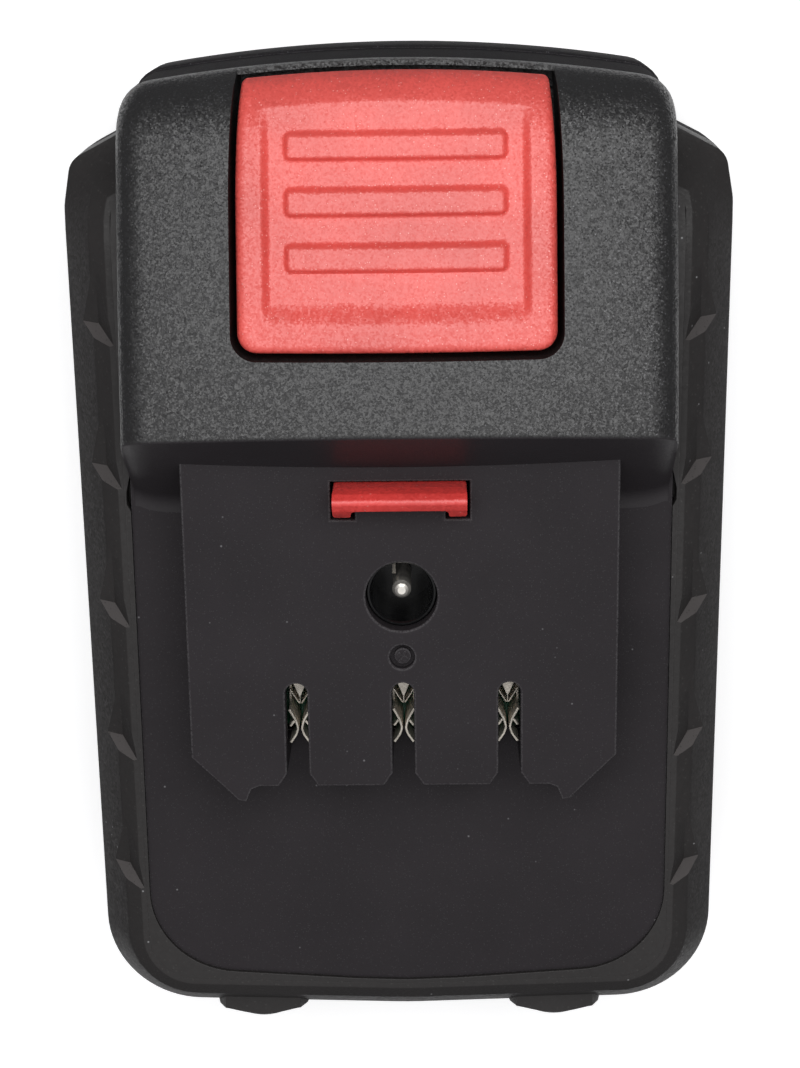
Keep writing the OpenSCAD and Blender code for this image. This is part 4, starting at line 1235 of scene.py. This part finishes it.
def make_button(sizes, material):
    """Thumb button that follows the head's face, with a hollow and three ribs, open from below."""
    edge = sizes.button_edge / MM
    hx = BUTTON_HALF
    rib_x, rib_y = RIB_HALF
    marks_x = [-hx, hx, -HOLLOW_HALF, HOLLOW_HALF, -rib_x, rib_x]
    marks_y = [BUTTON_Y0, BUTTON_Y1, HOLLOW_LOW + 1.3, HOLLOW_TOP]
    marks_y += [y + d for y in RIBS_Y for d in (-rib_y, rib_y)]
    xs = graded(-hx, hx, marks_x, 0.5, 0.16, 1.1)
    ys = graded(BUTTON_Y0, BUTTON_Y1, marks_y, 0.4, 0.16, 1.1)
    gx, gy = np.meshgrid(xs, ys, indexing="ij")
    cy = (BUTTON_Y0 + BUTTON_Y1) / 2
    hy = (BUTTON_Y1 - BUTTON_Y0) / 2
    r = np.where(gy < cy, 2.1, 0.6)
    # The square corners of the grid are drawn in to round ones.
    ux = np.clip((np.abs(gx) - hx + r) / r, 0, 1)
    uy = np.clip((np.abs(gy - cy) - hy + r) / r, 0, 1)
    fx = np.where((ux > 0) & (uy > 0), ux * np.sqrt(1 - uy * uy / 2), ux)
    fy = np.where((ux > 0) & (uy > 0), uy * np.sqrt(1 - ux * ux / 2), uy)
    px = np.where(ux > 0, np.sign(gx) * (hx - r + r * fx), gx)
    py = np.where(uy > 0, cy + np.sign(gy - cy) * (hy - r + r * fy), gy)
    outer = -box_distance(px, py, 0.0, cy, hx, hy, r)
    px = px * (1 - narrowing(py) / hx)
    py = py - px ** 2 / (2 * CROWN_R) * narrowing(py) / NARROW
    base = face_height(px, py, BUTTON_SINK)
    away = np.clip(edge - outer, 0, edge)
    drop = edge - np.sqrt(np.maximum(edge * edge - away * away, 0))
    # The hollow's floor is flat along the button, so that it runs out where the end curves down.
    rim_y = HOLLOW_TOP - 0.0036 * px ** 2
    rim_z = face_height(px, rim_y, BUTTON_SINK)
    ends = face_height(np.zeros(2), np.array((HOLLOW_LOW + 1.3, HOLLOW_TOP)), BUTTON_SINK)
    slope = (ends[0] - sizes.hollow_depth / MM - ends[1]) / (HOLLOW_TOP - HOLLOW_LOW - 1.3)
    sink = np.maximum(base - rim_z - (rim_y - py) * slope, 0)
    sink *= soft_step(HOLLOW_HALF - np.abs(px), -0.3, 0.8) * soft_step(py - HOLLOW_LOW, 0.0, 2.6)
    gate = 0.12 * soft_step(0.6 - np.hypot(px, py - HOLLOW_LOW - 1.2), 0.0, 0.3)
    ribs = np.zeros_like(px)
    for y in RIBS_Y:
        rib = box_distance(px, py, 0.0, y, rib_x, rib_y, 0.7)
        ribs = np.maximum(ribs, soft_step(-rib, -0.12, 0.5))
    z = base - drop - sink + gate + ribs * sizes.rib_height / MM
    shape = Shape()
    nx, ny = px.shape
    grid = np.array(shape.add(np.stack([px.ravel(), py.ravel(), z.ravel()], axis=1))).reshape(nx, ny)
    for i in range(nx - 1):
        for j in range(ny - 1):
            shape.face((grid[i, j], grid[i + 1, j], grid[i + 1, j + 1], grid[i, j + 1]))
    border = list(grid[:, 0]) + list(grid[-1, 1:]) + list(grid[-2::-1, -1]) + list(grid[0, -2:0:-1])
    foot = shape.add([(shape.points[i][0], shape.points[i][1], BUTTON_FOOT) for i in border])
    shape.wall(foot, border)
    shape.cap([foot])
    piece = shape.build("thumb_button", material, 50.0)
    # Open from below, with room for the springs and their pegs.
    room = Shape()
    room.slab(rectangle(-hx + 2, BUTTON_Y0 + 2, hx - 2, SPRING_Y + 5), [], 20.0, SPRING_SEAT, 0.3, 2, 0.3)
    return cut(piece, room.build("spring_room", material), material, 50.0)


def make_tooth(material):
    """Tooth with two legs, its back steep and its front sloped, and its arm."""
    bar = TOOTH_Y - 2.25
    foot = TOOTH_Y - 3.3
    leg = TOOTH_HALF - TOOTH_LEG
    half = [(0, TOOTH_Y), (-TOOTH_HALF, TOOTH_Y), (-TOOTH_HALF, foot), (-leg, foot), (-leg, bar), (0, bar)]
    radii = [0, 0.45, 0.5, 0.3, 0.7]
    outline = fillet_path(half + mirrored(half[:-1]), radii + [0.02] + radii[::-1])
    shape = Shape()
    shape.slab(outline[:-1], [], 28.7, RAIL_TOP + 5.0, 0.05, 2, 0.05)
    piece = shape.build("latch_tooth", material, 30.0)
    profile = [
        (TOOTH_Y + 1, 37.9), (TOOTH_Y, 37.9), (TOOTH_Y - 0.3, 39.4), (TOOTH_Y - 0.8, 40.25),
        (TOOTH_Y - 1.25, 40.4), (TOOTH_Y - 2.2, 39.6), (foot, 38.1), (foot - 0.2, 37.8), (foot - 1, 37.6),
    ]
    profile = fillet_path(profile, [0, 0.05, 0.8, 0.5, 0.5, 0.8, 0.3, 0.1, 0], 4)
    above = Shape()
    above.extrusion(profile + [(foot - 1, 50.0), (TOOTH_Y + 1, 50.0)], -9.0, 9.0)
    piece = cut(piece, above.build("above", material), material, 38.0)
    arm = Shape()
    arm.slab(rectangle(-ARM_HALF, TOOTH_Y - 0.6, ARM_HALF, 31.0), [], *ARM_Z, 0.3, 3, 0.3)
    return piece, arm.build("latch_arm", material)


def spring_tree(material):
    """Geometry nodes: one compression coil."""
    tree = bpy.data.node_groups.new("CoilSpring", "GeometryNodeTree")
    tree.interface.new_socket("Geometry", in_out="INPUT", socket_type="NodeSocketGeometry")
    for label in ("Turns", "Radius", "Height", "Wire Radius"):
        tree.interface.new_socket(label, in_out="INPUT", socket_type="NodeSocketFloat")
    tree.interface.new_socket("Place", in_out="INPUT", socket_type="NodeSocketVector")
    tree.interface.new_socket("Geometry", in_out="OUTPUT", socket_type="NodeSocketGeometry")
    give = tree.nodes.new("NodeGroupInput")
    take = tree.nodes.new("NodeGroupOutput")
    links = tree.links
    coil = tree.nodes.new("GeometryNodeCurveSpiral")
    coil.inputs["Resolution"].default_value = 32
    links.new(give.outputs["Turns"], coil.inputs["Rotations"])
    links.new(give.outputs["Radius"], coil.inputs["Start Radius"])
    links.new(give.outputs["Radius"], coil.inputs["End Radius"])
    links.new(give.outputs["Height"], coil.inputs["Height"])
    wire = tree.nodes.new("GeometryNodeCurvePrimitiveCircle")
    wire.inputs["Resolution"].default_value = 12
    links.new(give.outputs["Wire Radius"], wire.inputs["Radius"])
    tube = tree.nodes.new("GeometryNodeCurveToMesh")
    tube.inputs["Fill Caps"].default_value = True
    links.new(coil.outputs["Curve"], tube.inputs["Curve"])
    links.new(wire.outputs["Curve"], tube.inputs["Profile Curve"])
    move = tree.nodes.new("GeometryNodeTransform")
    links.new(tube.outputs["Mesh"], move.inputs["Geometry"])
    links.new(give.outputs["Place"], move.inputs["Translation"])
    real = tree.nodes.new("GeometryNodeRealizeInstances")
    links.new(move.outputs["Geometry"], real.inputs["Geometry"])
    coat = tree.nodes.new("GeometryNodeSetMaterial")
    coat.inputs["Material"].default_value = material
    links.new(real.outputs["Geometry"], coat.inputs["Geometry"])
    links.new(coat.outputs["Geometry"], take.inputs["Geometry"])
    return tree


class PACK_OT_latch(bpy.types.Operator):
    """Make the thumb button and the latch tooth"""

    bl_idname = "pack.latch"
    bl_label = "Release latch"

    def execute(self, context):
        sizes = context.scene.pack_sizes
        colours = context.scene.pack_colours
        clean = {"wear_and_highlight": 0.0, "dust": 0.0}
        # Pale specks on the red: partly painted glints.
        fleck_and_glint = (1.0, 0.4, 0.37, 1.0)
        red = moulded(
            "ButtonPlastic", tuple(colours.button), fleck_and_glint, 4600.0, 0.06, 0.4, 0.5, specular=0.9, facet=0.34,
            **clean,
        )
        fleck_and_glint = (0.9, 0.2, 0.18, 1.0)
        deep = moulded(
            "ToothPlastic", tuple(colours.tooth), fleck_and_glint, 3200.0, 0.04, 0.45, 0.3, specular=1.0, facet=0.2,
            **clean,
        )
        pieces = (make_button(sizes, red),) + make_tooth(deep)
        for piece in pieces:
            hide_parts("release_latch")
            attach(piece, "latch")
        return {"FINISHED"}


class PACK_OT_springs(bpy.types.Operator):
    """Make the two coil springs under the button"""

    bl_idname = "pack.springs"
    bl_label = "Latch springs"

    def execute(self, context):
        wire = metal("SpringWire", (0.62, 0.63, 0.65, 1.0), 0.24)
        tree = spring_tree(wire)
        room = SPRING_SEAT - ROOF_TOP
        for side, name in ((-1, "latch_spring_left"), (1, "latch_spring_right")):
            place = (side * SPRING_X * MM, SPRING_Y * MM, (ROOF_TOP + 0.3) * MM)
            values = {
                "Turns": 5.5, "Radius": 2.8 * MM, "Height": (room - 0.6) * MM,
                "Wire Radius": 0.3 * MM, "Place": place,
            }
            seed = bpy.data.meshes.new(name + "_seed")
            piece = from_nodes("coil_left" if side < 0 else "coil_right", seed, tree, values, wire, 60.0)
            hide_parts(name)
            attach(piece, "pack")
            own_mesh(piece)
        return {"FINISHED"}


# Terminals and inner pieces

def make_contact(name, x, material):
    """Female contact: two spring blades that nearly meet, guides, a tongue and a foot."""
    shape = Shape()
    for s in (-1, 1):
        strips = (
            ([(1.2, -14.75), (1.05, -15.0), (0.47, -16.08), (0.21, -17.07), (0.47, -17.85), (1.12, -18.8)],
             [0, 0.3, 1.4, 0.8, 0.9, 0], 0.26, 30.6),
            ([(0.62, -16.25), (0.85, -16.5), (1.14, -16.9)], [0, 0.5, 0], 0.26, 30.3),
            ([(1.2, -13.1), (0.7, -13.9), (0.12, -14.8)], [0, 0.5, 0], 0.16, 28.4),
            ([(1.2, -15.0), (1.2, -11.0)], [0, 0], 0.26, 27.6),
        )
        for path, radii, thick, top in strips:
            outline = strip_outline([(x + s * p[0], p[1]) for p in path], radii, thick, 6)
            shape.slab(outline, [], BOARD_TOP + 0.3, top, 0.04, 2, 0.02)
    plates = (
        ([(-0.08, -13.55), (0.08, -13.55), (1.2, -10.9), (-1.2, -10.9)], 29.0, 29.4),
        (rectangle(-0.06, -14.5, 0.06, -13.5), 28.6, 29.2),
        (rectangle(-1.2, -11.2, 1.2, -10.85), BOARD_TOP + 0.1, 29.4),
        (rectangle(-2.6, -13.2, 2.6, -10.2), BOARD_TOP + 0.02, BOARD_TOP + 0.4),
    )
    for outline, z0, z1 in plates:
        shape.slab([(x + p[0], p[1]) for p in outline], [], z0, z1, 0.03, 2, 0.02)
    return shape.build(name, material, 40.0)


def make_jack(material):
    """Round charge socket with a collar under the rail plate, on a square base."""
    shape = Shape()
    floor = BOARD_TOP + 1.5
    profile = [
        (0.74, BOARD_TOP + 0.02), (4.5, BOARD_TOP + 0.02), (4.5, RAIL_Z - 0.2), (3.94, RAIL_Z - 0.2),
        (3.94, RAIL_Z + 1.25), (3.8, RAIL_Z + 1.4), (3.6, RAIL_Z + 1.4), (3.46, RAIL_Z + 1.25),
        (3.46, floor), (0.74, floor),
    ]
    rings = [shape.add([(p[0], p[1], z) for p in circle_loop(0, JACK_Y, r, 72)]) for r, z in profile]
    for low, high in zip(rings, rings[1:] + rings[:1]):
        shape.wall(low, high)
    base = rectangle(-4.7, JACK_Y - 4.7, 4.7, JACK_Y + 4.7)
    shape.slab(base, [circle_loop(0, JACK_Y, 4.4, 72)], BOARD_TOP + 0.02, RAIL_Z - 1.4, 0.1, 2, 0.1)
    return shape.build("charge_socket", material, 34.0)


def make_leaf(material):
    """Bent spring leaf in the socket's bore."""
    path = [(3.75, 26.2), (3.7, 28.2), (2.9, 29.5), (1.75, 30.8)]
    shape = Shape()
    shape.extrusion(strip_outline(path, [0, 0.8, 0.6, 0], 0.2, 5), -1.07, -0.7)
    return shape.build("socket_leaf", material, 40.0)


class PACK_OT_terminals(bpy.types.Operator):
    """Finish the contacts and the charge jack"""

    bl_idname = "pack.terminals"
    bl_label = "Contacts and jack"

    def execute(self, context):
        colours = context.scene.pack_colours
        tin = metal("TinPlate", tuple(colours.tin), 0.34, metallic=0.6)
        for name, side in (("contact_negative", -1), ("contact_sense", 0), ("contact_positive", 1)):
            piece = make_contact(name.replace("contact", "terminal"), side * SLOT_PITCH, tin)
            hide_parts(name)
            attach(piece, "pack")
        dress(["jack_pin"], metal("PinNickel", (0.95, 0.91, 0.84, 1.0), 0.3, metallic=0.8))
        gloss = moulded(
            "JackPlastic", (0.004, 0.004, 0.0045, 1.0), (0.02, 0.02, 0.022, 1.0), 5200.0, 0.04, 0.22, 0.1,
            wear_and_highlight=0.0, dust=0.0, specular=0.3, facet=0.0,
        )
        for piece, name in ((make_jack(gloss), "jack_body"), (make_leaf(tin), "jack_spring")):
            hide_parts(name)
            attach(piece, "pack")
        return {"FINISHED"}


class PACK_OT_inner(bpy.types.Operator):
    """Finish the cells, holders, strips and board"""

    bl_idname = "pack.inner"
    bl_label = "Inner pieces"

    def execute(self, context):
        five = range(1, 6)
        strips = ["tab_positive", "tab_negative", "link_1_2", "link_2_3", "link_3_4", "link_4_5"]
        chips = ["transistor_left", "transistor_right", "protection_chip", "sense_resistor"]
        dress([f"cell_{k}" for k in five], metal("CanSteel", (0.66, 0.66, 0.65, 1.0), 0.3))
        dress(strips, metal("StripNickel", (0.75, 0.74, 0.7, 1.0), 0.3))
        # Pieces, material, colour, colour of its specks (partly painted glints) and the values that follow
        # them in moulded().
        plastics = (
            ([f"sleeve_{k}" for k in five], "SleeveFilm", (0.02, 0.16, 0.3), (0.05, 0.22, 0.36),
             (2400.0, 0.1, 0.3, 0.1, 0.0, 0.1, 0.5)),
            ([f"ring_{k}" for k in five], "RingCard", (0.62, 0.6, 0.52), (0.7, 0.68, 0.6),
             (3000.0, 0.3, 0.85, 0.5, 0.0, 0.1, 0.2)),
            (["holder_left", "holder_right"], "HolderPlastic", (0.028, 0.028, 0.03), (0.08, 0.08, 0.08),
             (3000.0, 0.2, 0.6, 0.4)),
            (["paper_left", "paper_right"], "FishPaper", (0.42, 0.52, 0.42), (0.5, 0.6, 0.5),
             (2600.0, 0.3, 0.8, 0.5, 0.0, 0.1, 0.2)),
            (["circuit_board"], "BoardMask", (0.012, 0.11, 0.05), (0.02, 0.16, 0.08),
             (2600.0, 0.15, 0.32, 0.2, 0.0, 0.1, 0.5)),
            (chips, "ChipResin", (0.018, 0.018, 0.019), (0.06, 0.06, 0.06), (4200.0, 0.2, 0.55, 0.3)),
            (["board_passives", "thermistor"], "ChipCeramic", (0.42, 0.3, 0.18), (0.5, 0.36, 0.22),
             (3600.0, 0.2, 0.5, 0.2, 0.0, 0.1)),
        )
        for pieces, name, colour, fleck_and_glint, finish in plastics:
            dress(pieces, moulded(name, colour + (1.0,), fleck_and_glint + (1.0,), *finish))
        return {"FINISHED"}


# Stage

class PACK_OT_stage(bpy.types.Operator):
    """Set the camera, the lights, the floor and the surroundings"""

    bl_idname = "pack.stage"
    bl_label = "Stage"

    def execute(self, context):
        scene = context.scene
        scene.view_settings.view_transform = "Standard"
        data = bpy.data.cameras.new("PhotoView")
        data.sensor_width = 36.0
        data.lens = PHOTO_FOCAL / PHOTO_HIGH * data.sensor_width
        data.clip_start = 0.01
        data.shift_x = -0.5 / PHOTO_HIGH
        camera = bpy.data.objects.new("PhotoView", data)
        scene.collection.objects.link(camera)
        tilt = radians(VIEW_TILT)
        aim = Vector(VIEW_AIM)
        back = Vector((VIEW_SIDE / VIEW_FAR, sin(tilt), cos(tilt))).normalized()
        right = Vector((0.0, cos(tilt), -sin(tilt))).cross(back).normalized()
        turn = Matrix((right, back.cross(right), back)).transposed().to_4x4()
        roll = Matrix.Rotation(radians(VIEW_ROLL), 4, "Z")
        camera.matrix_world = Matrix.Translation(aim + back * VIEW_FAR) @ turn @ roll
        scene.camera = camera
        self.softbox(scene, Vector((0.014, 0.2, 0.41)), aim)
        self.surroundings(scene)
        self.floor(scene)
        return {"FINISHED"}

    def softbox(self, scene, place, aim):
        data = bpy.data.lights.new("Softbox", "AREA")
        data.shape = "RECTANGLE"
        data.size = 0.42
        data.size_y = 0.26
        data.energy = 1.1
        lamp = bpy.data.objects.new("Softbox", data)
        turn = (place - aim).to_track_quat("Z", "Y").to_matrix().to_4x4()
        lamp.matrix_world = Matrix.Translation(place) @ turn
        scene.collection.objects.link(lamp)

    def surroundings(self, scene):
        world = bpy.data.worlds.new("Studio")
        scene.world = world
        world.use_nodes = True
        tree = world.node_tree
        tree.nodes.clear()
        out = tree.nodes.new("ShaderNodeOutputWorld")
        place = tree.nodes.new("ShaderNodeTexCoord")
        axes = tree.nodes.new("ShaderNodeSeparateXYZ")
        tree.links.new(place.outputs["Generated"], axes.inputs["Vector"])
        height = ramp(tree, axes.outputs["Z"], 0.3, 0.8)
        sky = tree.nodes.new("ShaderNodeBackground")
        sky.inputs["Strength"].default_value = 1.0
        shade = mix_colour(tree, height, (0.16, 0.16, 0.165, 1.0), (0.75, 0.75, 0.76, 1.0))
        tree.links.new(shade, sky.inputs["Color"])
        tree.links.new(sky.outputs[0], out.inputs["Surface"])

    def floor(self, scene):
        """A white card, just larger than the view, on a grey table."""
        mat, tree, shader = new_material("WhiteCard")
        shader.inputs["Base Color"].default_value = (0.86, 0.86, 0.86, 1.0)
        shader.inputs["Roughness"].default_value = 0.9
        shader.inputs["Specular IOR Level"].default_value = 0.1
        path = tree.nodes.new("ShaderNodeLightPath")
        seen = maths(tree, "MAXIMUM", path.outputs["Is Camera Ray"], path.outputs["Is Glossy Ray"])
        seen = maths(tree, "MAXIMUM", seen, path.outputs["Is Transmission Ray"])
        shader.inputs["Emission Color"].default_value = (1.0, 1.0, 1.0, 1.0)
        tree.links.new(maths(tree, "MULTIPLY", seen, 0.45), shader.inputs["Emission Strength"])
        self.sheet(scene, "card", (-0.061, -0.084, 0.061, 0.066), -0.0002, mat)
        mat, tree, shader = new_material("GreyTable")
        grain = tree.nodes.new("ShaderNodeTexNoise")
        grain.inputs["Scale"].default_value = 400.0
        tree.links.new(node(tree, "ShaderNodeTexCoord").outputs["Object"], grain.inputs["Vector"])
        base = mix_colour(tree, grain.outputs["Fac"], (0.13, 0.13, 0.135, 1.0), (0.17, 0.17, 0.175, 1.0))
        tree.links.new(base, shader.inputs["Base Color"])
        shader.inputs["Roughness"].default_value = 0.85
        self.sheet(scene, "table", (-1.2, -1.2, 1.2, 1.2), -0.0008, mat)

    def sheet(self, scene, name, span, z, material):
        x0, y0, x1, y1 = span
        mesh = bpy.data.meshes.new(name)
        mesh.from_pydata([(x0, y0, z), (x1, y0, z), (x1, y1, z), (x0, y1, z)], [], [(0, 1, 2, 3)])
        mesh.materials.append(material)
        piece = bpy.data.objects.new(name, mesh)
        scene.collection.objects.link(piece)


class PACK_PT_sidebar(bpy.types.Panel):
    """Steps and settings of the battery pack"""

    bl_idname = "PACK_PT_sidebar"
    bl_label = "Battery pack"
    bl_space_type = "VIEW_3D"
    bl_region_type = "UI"
    bl_category = "Pack"

    def draw(self, context):
        for step in STEPS:
            self.layout.operator(step.bl_idname)
        for group in (context.scene.pack_sizes, context.scene.pack_colours):
            for key in group.__annotations__:
                self.layout.prop(group, key)


STEPS = (
    PACK_OT_stage, PACK_OT_head, PACK_OT_deck, PACK_OT_grip, PACK_OT_tub, PACK_OT_latch, PACK_OT_springs,
    PACK_OT_terminals, PACK_OT_inner,
)
CLASSES = (PackSizes, PackColours) + STEPS + (PACK_PT_sidebar,)


def register():
    for kind in CLASSES:
        bpy.utils.register_class(kind)
    bpy.types.Scene.pack_sizes = bpy.props.PointerProperty(type=PackSizes)
    bpy.types.Scene.pack_colours = bpy.props.PointerProperty(type=PackColours)


def unregister():
    del bpy.types.Scene.pack_colours
    del bpy.types.Scene.pack_sizes
    for kind in reversed(CLASSES):
        bpy.utils.unregister_class(kind)


def main():
    register()
    bpy.ops.pack.stage()
    bpy.ops.pack.head()
    bpy.ops.pack.deck()
    bpy.ops.pack.grip()
    bpy.ops.pack.tub()
    bpy.ops.pack.latch()
    bpy.ops.pack.springs()
    bpy.ops.pack.terminals()
    bpy.ops.pack.inner()


if __name__ == "__main__":
    main()
